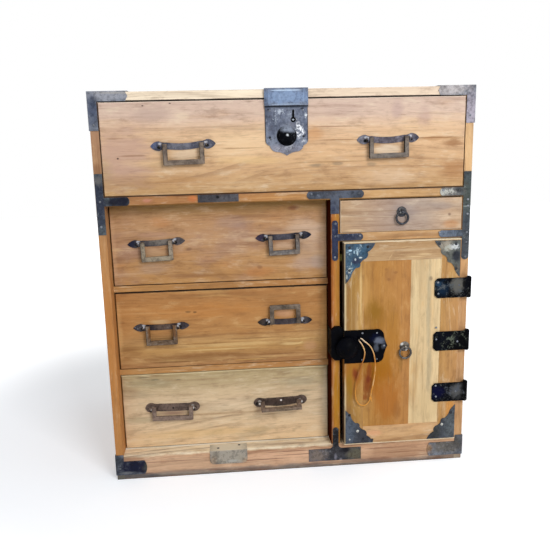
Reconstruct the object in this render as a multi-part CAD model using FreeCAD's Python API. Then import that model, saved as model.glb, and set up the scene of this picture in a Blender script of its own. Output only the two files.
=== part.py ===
import FreeCAD, Part
import math
import os

# Merchant's sea chest: a boarded case with a full-width lockable drawer, three recessed
# drawers on the left, and a small drawer over a hinged cupboard door on the right.
# Millimetres. Origin at the middle of the underside, +X to the right seen from the
# front, +Y towards the back, +Z up. Every part is written to parts/NODE.step.

V = FreeCAD.Vector

# Case
CASE_W = 638.0            # over the side boards
CASE_D = 380.0            # front edges to back boards
CASE_H = 677.5            # floor to the top of the top board
SIDE_T = 13.5
TOP_T = 14.5
SHELF_T = 16.0            # shelf under the full-width drawer
DIVIDER_T = 16.0
BACK_T = 10.0
BACK_BOARDS = 4
BACK_GAP = 0.4            # shrinkage gap between back boards
BACK_REBATE = 6.0         # how far the back boards lap into the sides
BASE_H = 45.0             # base rail, up to the floor of the bottom drawer
BASE_T = 26.0
BASE_EDGE_R = 4.0
FLOOR_T = 12.0
BEARER_W = 40.0
TONGUE = 4.0              # depth of the housings that hold the shelves
HOUSING_STOP = 20.0       # distance from the front edges to where the housings start
TOP_FINGERS = 7           # finger joint between top board and sides

# Bays
TOP_BAY_H = 153.0         # opening for the full-width drawer
SMALL_BAY_H = 58.0        # opening for the small drawer
SMALL_SHELF_T = 14.0      # shelf between the small drawer and the cupboard
COLUMN_W = 378.0          # width of the left column
COLUMN_DRAWERS = 3
RAIL_T = 10.5             # rails between the left column's drawers
RAIL_D = 18.0
RECESS = 30.0             # drawers of the left column stand this far behind the edges
RAIL_SETBACK = 1.0        # rails stand this far behind the drawer fronts
RUNNER_W = 12.0
RUNNER_T = 8.0

# Drawers
DRAWER_GAP = 1.2          # at each side
DRAWER_TOP_GAP = 1.5
DRAWER_RUN_GAP = 0.4      # under the drawer
DRAWER_BACK_GAP = 8.0
FRONT_T = 16.0
FRONT_LAP = 8.0           # how far the sides reach into the front
FRONT_EDGE_R = 2.2
WALL_T = 9.0
BOTTOM_T = 6.0
WALL_DROP = 3.0           # drawer sides stop this far below the front's top edge
BACK_DROP = 12.0
TOP_PROUD = 1.0           # the full-width drawer stands in front of the case edges

# Cupboard door
DOOR_T = 20.0
DOOR_PROUD = 10.0
DOOR_GAP_LATCH = 6.0      # between the divider and the door
DOOR_GAP_HINGE = 3.0
DOOR_GAP_TOP = 1.2
DOOR_GAP_BOTTOM = 1.0
STILE_W = 34.5
DOOR_RAIL_W = 34.0
DOOR_TENON = 12.0
PANEL_SINK = 0.8          # the panel boards lie behind the frame's face
PANEL_T = 9.0
PANEL_TONGUE = 6.0
PALE_BOARD_W = 54.5       # panel board at the hinge side
DOOR_EDGE_R = 2.5
STOP_W = 11.0             # stop block on the divider, behind the door's edge
STOP_D = 20.0
STOP_H = 12.0
STOP_DROP = 31.0          # below the shelf over the cupboard
STOP_GAP = 0.5

# Strap hinges
HINGE_H = 35.5
HINGE_T = 1.6
HINGE_LEAF = 62.8         # door leaf, from the pin to the cut-cornered end
HINGE_CUT = 5.0
HINGE_WRAP = 46.0         # along the outside of the case
HINGE_BARREL_R = 4.5
HINGE_PIN_R = 2.0
HINGE_PIN_HEAD_R = 3.2
HINGE_PIN_HEAD_H = 1.2
HINGE_GAP = 0.4           # between knuckles
HINGE_PIN_INSET = 0.3     # pin axis, in from the outside of the case
HINGE_FROM_BOTTOM = 92.5  # lowest hinge's middle, above the door's bottom edge
HINGE_FROM_TOP = 87.1     # highest hinge's middle, below the door's top edge

# Running fits
PIN_FIT = 0.05            # radial clearance of every pin in its eye or knuckle

# Sheet irons
IRON_T = 1.5

# Forged bail handles
BAIL_T = 5.2
BAIL_LEG_W = 7.6
BAIL_BAR_H = 8.2
BAIL_CORNER_R = 1.8
BAIL_CHAMFER = 0.8
BAIL_TOP = 3.1            # leg above the pivot
BAIL_UP_ANGLE = 184.0     # a bail turned up leans towards the drawer front
BAIL_OUT_ANGLE = 75.0     # the stiff bail of the bottom drawer stands out
PINTLE_R = 1.8
PINTLE_OUT = 1.6          # pintle past its eye
EYE_W = 3.0
EYE_R = 4.2
EYE_GAP = 0.5             # between bail leg and eye
EYE_REACH = 7.6           # pivot in front of the face that carries the plate
EYE_NECK_H = 3.4
EYE_WALL = 1.0            # between the pintle and the root of the neck
SHANK_H = 2.6
CLINCH_L = 8.5            # legs of the split pins, bent over inside
CLINCH_T = 0.8
PLATE_LEAF_L = 14.5       # from the leaf's widest point to its tip
PLATE_NECK_L = 26.0       # from the end of the band to the tip
PLATE_THROAT = (1.0, 0.7) # how far the hollow behind the leaf is set off its chord
HANDLES = {
    # kind: plate length, bail width, pivot to lower edge,
    # how full the leaf's end is, height of the band, height of the leaf, sag of the band
    "top": (106.5, 67.5, 31.8, 0.45, 10.6, 15.6, 2.4),
    "column": (99.0, 55.0, 31.6, 0.35, 10.2, 13.8, 0.9),
    "lower": (99.0, 74.0, 22.6, 1.0, 14.4, 16.2, 0.4),
    "carry": (158.0, 112.0, 54.0, 0.35, 12.0, 20.0, 0.0),
}
TOP_HANDLE_X = 171.0      # from the drawer's middle
TOP_HANDLE_RISE = 82.7    # from the bottom of the bay
COLUMN_HANDLE_X = 110.5   # from the drawer's middle, upper and middle drawer
LOWER_HANDLE_X = 98.8     # from the drawer's middle, bottom drawer
COLUMN_HANDLE_RISE = 77.0
CARRY_RISE = 560.0
TOP_HANDLE_SET = {"left": (-1.2, 1.4), "right": (1.2, 1.0)}  # height offset, tilt
COLUMN = (
    # from the bottom up: drawer, kind, handles' distance from the drawer's middle, and for
    # the left and the right handle the offset in height, swing and tilt
    ("drawer_lower", "lower", LOWER_HANDLE_X, (0.0, 0.0, -1.2), (0.4, BAIL_OUT_ANGLE, 1.2)),
    ("drawer_middle", "column", COLUMN_HANDLE_X, (0.2, 0.0, 0.5), (0.2, BAIL_UP_ANGLE, 0.3)),
    ("drawer_upper", "column", COLUMN_HANDLE_X, (-1.6, 0.0, 2.2), (1.4, 0.0, 2.0)),
)

# Ring pulls
RING_R = 10.2             # to the middle of the ring's section
RING_WIRE_R = 1.95
RING_ROSE_R = 9.0
RING_ROSE_T = 1.2
RING_ROSE_EDGE = 0.7
RING_EYE_R = 3.8
RING_EYE_HOLE = 2.3
RING_EYE_W = 2.6
RING_REACH = 5.6
RING_SHANK_L = 9.0
DOOR_RING_SHARE = 0.381   # of the way from the lock's point to the hinge leaves
DOOR_RING_RISE = 183.5    # above the door's bottom edge
SMALL_RING_RISE = 34.0    # above the bottom of the small bay

# Lock of the full-width drawer
LOCK_W = 71.0
LOCK_TIP_DROP = 91.4      # drawer's top edge to the tip of the shield
LOCK_CUSPS = (            # half width and drop of the shield's foot, from the side inwards
    (35.5, 65.4), (33.8, 71.2), (28.0, 74.8), (25.0, 81.2), (15.0, 85.2), (7.0, 87.4),
)
LOCK_PLATE_T = 1.6
LOCK_CAP_H = 31.0
LOCK_CAP_BASE_T = 2.0
LOCK_CAP_T = 5.4
LOCK_CAP_BEVEL = 7.0
LOCK_CAP_TOP_BEVEL = 4.5
LOCK_CAP_LOW_BEVEL = 3.0
LOCK_CAP_OVER = 1.0       # cap above the plate behind it
LOCK_CAP_SIDE = 0.6       # cap wider than the plate, each side
LOCK_CASE_W = 48.0        # lock case let into the drawer front
LOCK_CASE_H = 36.0
LOCK_CASE_D = 9.0
LOCK_CASE_DROP = 15.0
BOSS_STEP = 1.0           # the crown stands in from the wall
BOSS_R = 16.5
BOSS_WALL = 1.5
BOSS_H = 14.0
BOSS_DROP = 59.0
KEY_X = 11.3
KEY_DROP = 33.5           # drawer's top edge to the middle of the round end
KEY_R = 4.2
KEY_PIN_R = 1.4
KEY_SLOT_W = 2.8
KEY_SLOT_L = 16.0
KEY_DEPTH = 8.0

# Lock of the cupboard door
DOOR_LOCK_RISE = 187.5    # above the door's bottom edge
DOOR_LOCK_H = 61.0
DOOR_LOCK_L = 77.5        # latch edge to the pointed end
DOOR_LOCK_POINT = 22.0
DOOR_LOCK_LOBE = 8.0
DOOR_BOSS_R = 20.0
DOOR_BOSS_WALL = 8.0
DOOR_BOSS_H = 18.0
DOOR_BOSS_X = 5.0         # boss centre, from the latch edge
KEEPER_H = 62.0
KEEPER_RISE = 6.0         # its middle, above the middle of the lock
KEEPER_T = 8.0
KEEPER_PAST = 4.8         # keeper past the divider's right face
KEEPER_CUT = 6.0
KEEPER_LEG_T = 0.8
KEEPER_LEG_D = 30.0

# Door corner irons: length along the rail, length along the stile
DOOR_IRON_LOW = (51.5, 65.0)
DOOR_IRON_HIGH_LATCH = (52.0, 70.0)
DOOR_IRON_HIGH_HINGE = (46.0, 65.5)
DOOR_IRON_T = 1.2
DOOR_IRON_INSET = 2.2

# Irons on the front edges
ARM_POINT = 4.0
CORNER_ARM = 63.0         # top corner irons, from the case's side
CORNER_LEG_END = 46.0     # below the top board
BASE_ARM_LEFT = 54.0
BASE_ARM_RIGHT = 66.0
BASE_IRON_RISE = 9.0      # underside of the base irons
BASE_IRON_TOP = 35.0
BASE_LEG_TOP = 47.5
SIDE_ARM = 55.0           # arms of the irons at the shelves, from the case's side
SIDE_LEG_INSET = 0.6      # legs stay inside the outer corner of the case
SIDE_IRON_LEFT = (47.0, 38.0)      # reach below and above the shelf's faces
SIDE_IRON_RIGHT_UP = (9.0, 26.0)
SIDE_IRON_RIGHT_LOW = 40.0         # reach below the small shelf
SIDE_IRON_SEAM = 0.4      # between the two irons of the right side
TEE_X = (-40.0, 42.0)     # arms of the tee over the divider, past its faces
TEE_LEG = 24.0
TEE_LEG_INSET = 0.5       # leg narrower than the divider's edge, each side
DIVIDER_IRON = (34.0, 22.5)        # below and above the small shelf
DIVIDER_LEG_W = 10.5
DIVIDER_ARM = 41.0
ARM_INSET = 1.0           # arms narrower than the shelf's edge, each side
SHELF_IRON_INSET = 2.4    # tee and strap above the shelf's lower edge
FOOT_TEE = (12.0, 35.5)            # heights of the tee's arms at the base
FOOT_TEE_X = (-42.0, 39.0)
FOOT_TEE_LEG_W = 10.5
FOOT_TEE_TOP = 77.0
FOOT_TEE_FLARE = 7.0      # radius where the leg spreads into the arms
STRAP_X = (-151.0, -83.0)          # plates at the middle of the left column
STRAP_RISE = 19.0
STRAP_FOLD = 24.0
STRAP_CORNER_R = 8.0      # lower corners of the plate at the base
IRON_WRAP = 42.0          # how far the corner irons fold over the top and sides

# String loop on the door lock, limp cord
STRING_D = 2.2
STRING_EYE_X = 26.5       # eye, from the latch edge
STRING_EYE_RISE = 16.1    # eye, above the middle of the lock
STRING_EYE_TILT = 37.7
KNOT_R = 2.6
KNOT_TAIL_L = 7.5

# Datums worked out from the sizes above
X_LEFT = -CASE_W / 2
X_RIGHT = CASE_W / 2
X_IN_LEFT = X_LEFT + SIDE_T
X_IN_RIGHT = X_RIGHT - SIDE_T
Y_FRONT = -CASE_D / 2
Y_BACK = CASE_D / 2
Y_IN_BACK = Y_BACK - BACK_T
Z_TOP_IN = CASE_H - TOP_T
Z_SHELF_TOP = Z_TOP_IN - TOP_BAY_H
Z_SHELF = Z_SHELF_TOP - SHELF_T
X_DIV_LEFT = X_IN_LEFT + COLUMN_W
X_DIV_RIGHT = X_DIV_LEFT + DIVIDER_T
Z_SMALL_BAY = Z_SHELF - SMALL_BAY_H
Z_CUPBOARD_TOP = Z_SMALL_BAY - SMALL_SHELF_T
Y_HOUSING = Y_FRONT + HOUSING_STOP
Y_COLUMN = Y_FRONT + RECESS
BAY_H = (Z_SHELF - BASE_H - (COLUMN_DRAWERS - 1) * RAIL_T) / COLUMN_DRAWERS
DOOR_X0 = X_DIV_RIGHT + DOOR_GAP_LATCH
DOOR_X1 = X_IN_RIGHT - DOOR_GAP_HINGE
DOOR_Z0 = BASE_H + DOOR_GAP_BOTTOM
DOOR_Z1 = Z_CUPBOARD_TOP - DOOR_GAP_TOP
DOOR_Y = Y_FRONT - DOOR_PROUD
HINGE_X = X_RIGHT - HINGE_PIN_INSET
HINGE_Y = DOOR_Y - HINGE_T + HINGE_BARREL_R
HINGE_Z0 = DOOR_Z0 + HINGE_FROM_BOTTOM
HINGE_Z1 = DOOR_Z1 - HINGE_FROM_TOP
HINGE_LEVELS = (HINGE_Z0, (HINGE_Z0 + HINGE_Z1) / 2, HINGE_Z1)
LOCK_Z = DOOR_Z0 + DOOR_LOCK_RISE

os.makedirs("parts", exist_ok=True)


def box(x0, x1, y0, y1, z0, z1):
    return Part.makeBox(x1 - x0, y1 - y0, z1 - z0, V(x0, y0, z0))


def cylinder(centre, axis, radius, length):
    return Part.makeCylinder(radius, length, V(*centre), V(*axis))


def save(node, *solids):
    shape = solids[0] if len(solids) == 1 else Part.makeCompound(list(solids))
    shape.exportStep("parts/" + node + ".step")


def outline_edges(steps):
    """Closed outline in the XZ plane. A step is a point, or a pair: a point on an arc
    and the arc's end."""
    points = [step if isinstance(step[0], (int, float)) else step[1] for step in steps]
    edges = []
    for index, step in enumerate(steps):
        start = V(points[index - 1][0], 0, points[index - 1][1])
        end = V(points[index][0], 0, points[index][1])
        if isinstance(step[0], (int, float)):
            edges.append(Part.LineSegment(start, end).toShape())
        else:
            middle = V(step[0][0], 0, step[0][1])
            edges.append(Part.Arc(start, middle, end).toShape())
    return edges


def sheet(steps, y_back, thickness):
    """A plate of that outline, its back at y_back and its face towards the front."""
    face = Part.Face(Part.Wire(outline_edges(steps)))
    plate = face.extrude(V(0, -thickness, 0))
    plate.translate(V(0, y_back, 0))
    return plate


def rounded(solid, radius, chosen):
    """The solid with a fillet on each straight edge for which chosen(edge) holds."""
    return solid.makeFillet(radius, [edge for edge in solid.Edges if chosen(edge)])


def on_front(edge, y):
    return all(abs(vertex.Y - y) < 1e-6 for vertex in edge.Vertexes)


# Case boards


def bearing_tongues(x0, x1, z0, z1):
    """Ends of a shelf that sit in the housings of the boards beside it."""
    left = box(x0 - TONGUE, x0, Y_HOUSING, Y_IN_BACK, z0, z1)
    right = box(x1, x1 + TONGUE, Y_HOUSING, Y_IN_BACK, z0, z1)
    return left, right


def shelf(x0, x1, z0, z1, y0=None):
    body = box(x0, x1, Y_FRONT if y0 is None else y0, Y_IN_BACK, z0, z1)
    return body.fuse(bearing_tongues(x0, x1, z0, z1)).removeSplitter()


def finger_blocks(x0, x1, first):
    """Every second finger of the top joint, starting with the first or the second."""
    width = CASE_D / TOP_FINGERS
    starts = [Y_FRONT + index * width for index in range(first, TOP_FINGERS, 2)]
    return [box(x0, x1, y, y + width, Z_TOP_IN, CASE_H) for y in starts]


mid_shelf = shelf(X_IN_LEFT, X_IN_RIGHT, Z_SHELF, Z_SHELF_TOP)
small_shelf = shelf(X_DIV_RIGHT, X_IN_RIGHT, Z_CUPBOARD_TOP, Z_SMALL_BAY)
floor_board = box(
    X_IN_LEFT - TONGUE, X_IN_RIGHT + TONGUE, Y_FRONT + BASE_T, Y_IN_BACK,
    BASE_H - FLOOR_T, BASE_H,
)

divider = box(X_DIV_LEFT, X_DIV_RIGHT, Y_FRONT, Y_IN_BACK, BASE_H, Z_SHELF)
divider_tongues = [
    box(X_DIV_LEFT, X_DIV_RIGHT, Y_FRONT + BASE_T, Y_IN_BACK, BASE_H - TONGUE, BASE_H),
    box(X_DIV_LEFT, X_DIV_RIGHT, Y_HOUSING, Y_IN_BACK, Z_SHELF, Z_SHELF + TONGUE),
]
divider = divider.fuse(divider_tongues).removeSplitter()

rails = []
runners = []
for level in range(1, COLUMN_DRAWERS):
    z1 = BASE_H + level * (BAY_H + RAIL_T)
    y0 = Y_COLUMN + RAIL_SETBACK
    rails.append(box(X_IN_LEFT - TONGUE, X_DIV_LEFT + TONGUE, y0, y0 + RAIL_D, z1 - RAIL_T, z1))
    for x0 in (X_IN_LEFT, X_DIV_LEFT - RUNNER_W):
        runners.append(box(x0, x0 + RUNNER_W, y0 + RAIL_D, Y_IN_BACK, z1 - RUNNER_T, z1))

base_rail = box(X_IN_LEFT, X_IN_RIGHT, Y_FRONT, Y_FRONT + BASE_T, 0, BASE_H)
base_rail = rounded(
    base_rail, BASE_EDGE_R,
    lambda edge: on_front(edge, Y_FRONT) and all(abs(p.Z - BASE_H) < 1e-6 for p in edge.Vertexes),
)
floor_bearer = box(
    -BEARER_W / 2, BEARER_W / 2, Y_FRONT + BASE_T, Y_IN_BACK, 0, BASE_H - FLOOR_T
)

back_boards = []
back_x = X_IN_RIGHT + BACK_REBATE
back_h = (Z_TOP_IN - (BACK_BOARDS - 1) * BACK_GAP) / BACK_BOARDS
for index in range(BACK_BOARDS):
    z0 = index * (back_h + BACK_GAP)
    back_boards.append(box(-back_x, back_x, Y_IN_BACK, Y_BACK, z0, z0 + back_h))

sides = []
for x0, x1 in ((X_LEFT, X_IN_LEFT), (X_IN_RIGHT, X_RIGHT)):
    side = box(x0, x1, Y_FRONT, Y_BACK, 0, CASE_H)
    side = side.cut(finger_blocks(x0, x1, 0))
    side = side.cut(box(-back_x, back_x, Y_IN_BACK, Y_BACK, 0, Z_TOP_IN))
    side = side.cut([mid_shelf, small_shelf, floor_board] + rails)
    sides.append(side.removeSplitter())

top_board = box(X_LEFT, X_RIGHT, Y_FRONT, Y_BACK, Z_TOP_IN, CASE_H)
for x0, x1 in ((X_LEFT, X_IN_LEFT), (X_IN_RIGHT, X_RIGHT)):
    top_board = top_board.cut(finger_blocks(x0, x1, 1))

mid_shelf = mid_shelf.cut(divider_tongues[1])
floor_board = floor_board.cut(divider_tongues[0])
divider = divider.cut([small_shelf] + rails)

door_stop = box(
    X_DIV_RIGHT, X_DIV_RIGHT + STOP_W,
    DOOR_Y + DOOR_T + STOP_GAP, DOOR_Y + DOOR_T + STOP_GAP + STOP_D,
    Z_CUPBOARD_TOP - STOP_DROP - STOP_H / 2, Z_CUPBOARD_TOP - STOP_DROP + STOP_H / 2,
)

# Handles, in their own frame: X along the plate, the face that carries it at y = 0,
# outwards is -Y, Z up, pivot axis on z = 0


def leaf_plate(length, fullness, band_h, leaf_h, sag):
    """Back plate with a leaf at each end and a band that may sag between them."""
    band, leaf = band_h / 2, leaf_h / 2
    tip, crest, neck = length / 2, length / 2 - PLATE_LEAF_L, length / 2 - PLATE_NECK_L
    bulge_x = (tip + crest) / 2 + fullness * PLATE_LEAF_L * 0.21
    bulge_z = leaf / 2 + (0.35 + fullness * 0.55) * leaf * 0.4
    throat_x = (neck + crest) / 2 + PLATE_THROAT[0]
    throat_z = (band + leaf) / 2 - PLATE_THROAT[1]
    steps = [((0.0, band - sag), (neck, band))]
    steps += [((throat_x, throat_z), (crest, leaf)), ((bulge_x, bulge_z), (tip, 0.0))]
    steps += [((bulge_x, -bulge_z), (crest, -leaf)), ((throat_x, -throat_z), (neck, -band))]
    steps += [((0.0, -band - sag), (-neck, -band))]
    steps += [((-throat_x, -throat_z), (-crest, -leaf)), ((-bulge_x, -bulge_z), (-tip, 0.0))]
    steps += [((-bulge_x, bulge_z), (-crest, leaf)), ((-throat_x, throat_z), (-neck, band))]
    if sag == 0.0:
        steps[0], steps[5] = (neck, band), (-neck, -band)
    return sheet(steps, 0.0, IRON_T)


def shank(x, length):
    return box(x - EYE_W / 2, x + EYE_W / 2, -IRON_T, length, -SHANK_H / 2, SHANK_H / 2)


def eye_stud(x, wall):
    """Split pin: an eye in front, its shank through the wall, its legs bent over behind."""
    left, right = x - EYE_W / 2, x + EYE_W / 2
    eye = cylinder((left, -EYE_REACH, 0), (1, 0, 0), EYE_R, EYE_W)
    neck = box(
        left, right, -EYE_REACH + PINTLE_R + EYE_WALL, -IRON_T, -EYE_NECK_H / 2, EYE_NECK_H / 2
    )
    legs = box(left, right, wall, wall + CLINCH_T, -CLINCH_L, CLINCH_L)
    stud = eye.fuse([neck, shank(x, wall), legs])
    hole = cylinder((left - 1, -EYE_REACH, 0), (1, 0, 0), PINTLE_R + PIN_FIT, EYE_W + 2)
    return stud.cut(hole).removeSplitter()


def bail(width, drop):
    """Rectangular bail with out-turned pintles, hanging, pivot on the X axis."""
    half, inner = width / 2, width / 2 - BAIL_LEG_W
    low, bar = -drop, -drop + BAIL_BAR_H
    r = BAIL_CORNER_R
    corner = r * (1 - math.sqrt(0.5))
    steps = [(half, BAIL_TOP), (inner, BAIL_TOP), (inner, bar), (-inner, bar)]
    steps += [(-inner, BAIL_TOP), (-half, BAIL_TOP), (-half, low + r)]
    steps += [((-half + corner, low + corner), (-half + r, low)), (half - r, low)]
    steps += [((half - corner, low + corner), (half, low + r))]
    loop = sheet(steps, BAIL_T / 2, BAIL_T)
    front = [edge for edge in loop.Edges if on_front(edge, -BAIL_T / 2)]
    loop = loop.makeChamfer(BAIL_CHAMFER, front)
    pintle_end = half + EYE_GAP + EYE_W + PINTLE_OUT
    for side in (-1, 1):
        start = side * (half - BAIL_LEG_W / 2)
        length = pintle_end - (half - BAIL_LEG_W / 2)
        loop = loop.fuse(cylinder((start, 0, 0), (side, 0, 0), PINTLE_R, length))
    return loop


def handle(kind, wall, swing, tilt, place):
    """Plate with its two studs, the bail turned outwards by swing, and the holes for the
    shanks, tilted in the plane of the wall and moved by place."""
    length, width, drop, *leaf = HANDLES[kind]
    stud_x = width / 2 + EYE_GAP + EYE_W / 2
    studs = [eye_stud(side * stud_x, wall) for side in (-1, 1)]
    holes = [shank(side * stud_x, wall) for side in (-1, 1)]
    plate = leaf_plate(length, *leaf).cut(holes)
    ring = bail(width, drop)
    ring.rotate(V(0, 0, 0), V(-1, 0, 0), swing)
    ring.translate(V(0, -EYE_REACH, 0))
    pieces = [plate] + studs + [ring] + holes
    for piece in pieces:
        piece.rotate(V(0, 0, 0), V(0, -1, 0), tilt)
        place(piece)
    return {"irons": [plate] + studs, "bail": ring, "holes": holes}


def wall_handle(kind, x, y, z, swing=0.0, tilt=0.0):
    return handle(kind, FRONT_T, swing, tilt, lambda piece: piece.translate(V(x, y, z)))


# Drawers


def drawer(node, x0, x1, z0, z1, y_face, pierced_by=()):
    """Front with rebates for the box; the box is two sides, a back and a bottom."""
    y_box = y_face + FRONT_T - FRONT_LAP
    y_end = Y_IN_BACK - DRAWER_BACK_GAP
    z_wall = z0 + BOTTOM_T
    walls = [
        box(x0, x0 + WALL_T, y_box, y_end, z_wall, z1 - WALL_DROP),
        box(x1 - WALL_T, x1, y_box, y_end, z_wall, z1 - WALL_DROP),
        box(x0 + WALL_T, x1 - WALL_T, y_end - WALL_T, y_end, z_wall, z1 - BACK_DROP),
        box(x0, x1, y_box, y_end, z0, z_wall),
    ]
    front = box(x0, x1, y_face, y_face + FRONT_T, z0, z1)
    front = rounded(front, FRONT_EDGE_R, lambda edge: on_front(edge, y_face))
    front = front.cut(walls + list(pierced_by))
    save(node + "_front", front)
    save(node + "_box", *walls)


# Full-width drawer

TOP_Y = Y_FRONT - TOP_PROUD
TOP_Z0 = Z_SHELF_TOP + DRAWER_RUN_GAP
TOP_Z1 = Z_TOP_IN - DRAWER_TOP_GAP


def top_lock():
    """Shield plate with its case, keyhole and pin; raised cap; domed boss."""
    half = LOCK_W / 2
    cap_z1 = CASE_H + IRON_T
    cap_z0 = cap_z1 - LOCK_CAP_H
    right = [(x, TOP_Z1 - drop) for x, drop in LOCK_CUSPS]
    left = [(-x, z) for x, z in right]
    tip = (0.0, TOP_Z1 - LOCK_TIP_DROP)
    steps = [(half, cap_z1 - LOCK_CAP_OVER), (-half, cap_z1 - LOCK_CAP_OVER), left[0]]
    steps += [(left[1], left[2]), (left[3], left[4]), (left[5], tip)]
    steps += [(right[5], right[4]), (right[3], right[2]), (right[1], right[0])]
    plate = sheet(steps, TOP_Y, LOCK_PLATE_T)
    case_z1 = TOP_Z1 - LOCK_CASE_DROP
    case = box(
        -LOCK_CASE_W / 2, LOCK_CASE_W / 2, TOP_Y, TOP_Y + LOCK_CASE_D,
        case_z1 - LOCK_CASE_H, case_z1,
    )
    y_key = TOP_Y - LOCK_PLATE_T
    key_z = TOP_Z1 - KEY_DROP
    key = cylinder((KEY_X, y_key - 1, key_z), (0, 1, 0), KEY_R, KEY_DEPTH + 1)
    slot = box(
        KEY_X - KEY_SLOT_W / 2, KEY_X + KEY_SLOT_W / 2, y_key - 1, y_key + KEY_DEPTH,
        key_z, key_z + KEY_SLOT_L,
    )
    pin = cylinder((KEY_X, y_key, key_z), (0, 1, 0), KEY_PIN_R, KEY_DEPTH + 1)
    plate = plate.fuse(case).cut(key.fuse(slot)).fuse(pin)
    y_cap = TOP_Y - LOCK_PLATE_T
    wide = half + LOCK_CAP_SIDE
    base = box(-wide, wide, y_cap - LOCK_CAP_BASE_T, y_cap, cap_z0, cap_z1)
    low = Part.makePolygon([
        V(-wide, y_cap - LOCK_CAP_BASE_T, cap_z0), V(wide, y_cap - LOCK_CAP_BASE_T, cap_z0),
        V(wide, y_cap - LOCK_CAP_BASE_T, cap_z1), V(-wide, y_cap - LOCK_CAP_BASE_T, cap_z1),
        V(-wide, y_cap - LOCK_CAP_BASE_T, cap_z0),
    ])
    inner = wide - LOCK_CAP_BEVEL
    inner_low, inner_top = cap_z0 + LOCK_CAP_LOW_BEVEL, cap_z1 - LOCK_CAP_TOP_BEVEL
    high = Part.makePolygon([
        V(-inner, y_cap - LOCK_CAP_T, inner_low), V(inner, y_cap - LOCK_CAP_T, inner_low),
        V(inner, y_cap - LOCK_CAP_T, inner_top), V(-inner, y_cap - LOCK_CAP_T, inner_top),
        V(-inner, y_cap - LOCK_CAP_T, inner_low),
    ])
    cap = base.fuse(Part.makeLoft([low, high], True, True)).removeSplitter()
    boss = dome(BOSS_R, BOSS_WALL, BOSS_H)
    boss.translate(V(0, y_cap, TOP_Z1 - BOSS_DROP))
    return plate, cap, boss, case


def dome(radius, wall, height):
    """Domed boss of that radius: a low wall with a spherical crown, its back on y = 0."""
    rim = radius - BOSS_STEP
    rise = height - wall
    ball = (rim ** 2 + rise ** 2) / (2 * rise)
    crown = Part.makeSphere(ball, V(0, ball - height, 0))
    crown = crown.common(box(-radius, radius, -height - 1, -wall, -radius, radius))
    base = cylinder((0, 0, 0), (0, -1, 0), radius, wall)
    return base.fuse(crown).removeSplitter()


top_x = CASE_W / 2 - SIDE_T - DRAWER_GAP
top_handles = {}
for side, sign in (("left", -1), ("right", 1)):
    rise, tilt = TOP_HANDLE_SET[side]
    z = Z_SHELF_TOP + TOP_HANDLE_RISE + rise
    top_handles[side] = wall_handle("top", sign * TOP_HANDLE_X, TOP_Y, z, tilt=tilt)
lock_plate, lock_cap, lock_boss, lock_case = top_lock()
holes = top_handles["left"]["holes"] + top_handles["right"]["holes"]
drawer("drawer_top", -top_x, top_x, TOP_Z0, TOP_Z1, TOP_Y, holes + [lock_case])
save("drawer_top_lock_plate", lock_plate, lock_cap)
save("drawer_top_lock_boss", lock_boss)
save("drawer_top_handle_irons", *(top_handles["left"]["irons"] + top_handles["right"]["irons"]))
for side in ("left", "right"):
    save("drawer_top_bail_" + side, top_handles[side]["bail"])

# Left column

column_x = (X_IN_LEFT + X_DIV_LEFT) / 2
for level, (node, kind, offset, left_set, right_set) in enumerate(COLUMN):
    z_bay = BASE_H + level * (BAY_H + RAIL_T)
    irons, pierced = [], []
    for side, sign, (rise, swing, tilt) in (("left", -1, left_set), ("right", 1, right_set)):
        z = z_bay + COLUMN_HANDLE_RISE + rise
        pulled = wall_handle(kind, column_x + sign * offset, Y_COLUMN, z, swing, tilt)
        irons += pulled["irons"]
        pierced += pulled["holes"]
        save(node + "_bail_" + side, pulled["bail"])
    save(node + "_handle_irons", *irons)
    drawer(
        node, X_IN_LEFT + DRAWER_GAP, X_DIV_LEFT - DRAWER_GAP,
        z_bay + DRAWER_RUN_GAP, z_bay + BAY_H - DRAWER_TOP_GAP, Y_COLUMN, pierced,
    )

# Small drawer and its ring pull


def ring_pull(x, y, z):
    """Rose with its eye, the hanging ring, and the shank's hole. (x, z) is the pivot."""
    half = RING_EYE_W / 2
    rose = cylinder((x, y, z), (0, -1, 0), RING_ROSE_R, RING_ROSE_T)
    rim = [edge for edge in rose.Edges if on_front(edge, y - RING_ROSE_T)]
    rose = rose.makeChamfer(RING_ROSE_EDGE, rim)
    eye = cylinder((x - half, y - RING_REACH, z), (1, 0, 0), RING_EYE_R, RING_EYE_W)
    y_neck = y - RING_REACH + RING_EYE_HOLE
    pin = box(x - half, x + half, y_neck, y + RING_SHANK_L, z - half, z + half)
    hole = cylinder((x - half - 1, y - RING_REACH, z), (1, 0, 0), RING_EYE_HOLE, RING_EYE_W + 2)
    rose = rose.fuse([eye, pin]).cut(hole).removeSplitter()
    ring = Part.makeTorus(RING_R, RING_WIRE_R, V(x, y - RING_REACH, z - RING_R), V(0, 1, 0))
    socket = box(x - half, x + half, y, y + RING_SHANK_L, z - half, z + half)
    return rose, ring, socket


small_x0 = X_DIV_RIGHT + DRAWER_GAP
small_x1 = X_IN_RIGHT - DRAWER_GAP
small_rose, small_ring, small_socket = ring_pull(
    (small_x0 + small_x1) / 2, Y_FRONT, Z_SMALL_BAY + SMALL_RING_RISE
)
drawer(
    "drawer_small", small_x0, small_x1, Z_SMALL_BAY + DRAWER_RUN_GAP,
    Z_SHELF - DRAWER_TOP_GAP, Y_FRONT, [small_socket],
)
save("drawer_small_rose", small_rose)
save("drawer_small_ring", small_ring)

# Carrying handles on the sides


def side_handle(sign):
    """Handle on the outside of the left (-1) or right (1) board."""
    def place(piece):
        piece.rotate(V(0, 0, 0), V(0, 0, 1), sign * 90)
        piece.translate(V(sign * CASE_W / 2, 0, CARRY_RISE))
    return handle("carry", SIDE_T, 0.0, 0.0, place)


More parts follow.
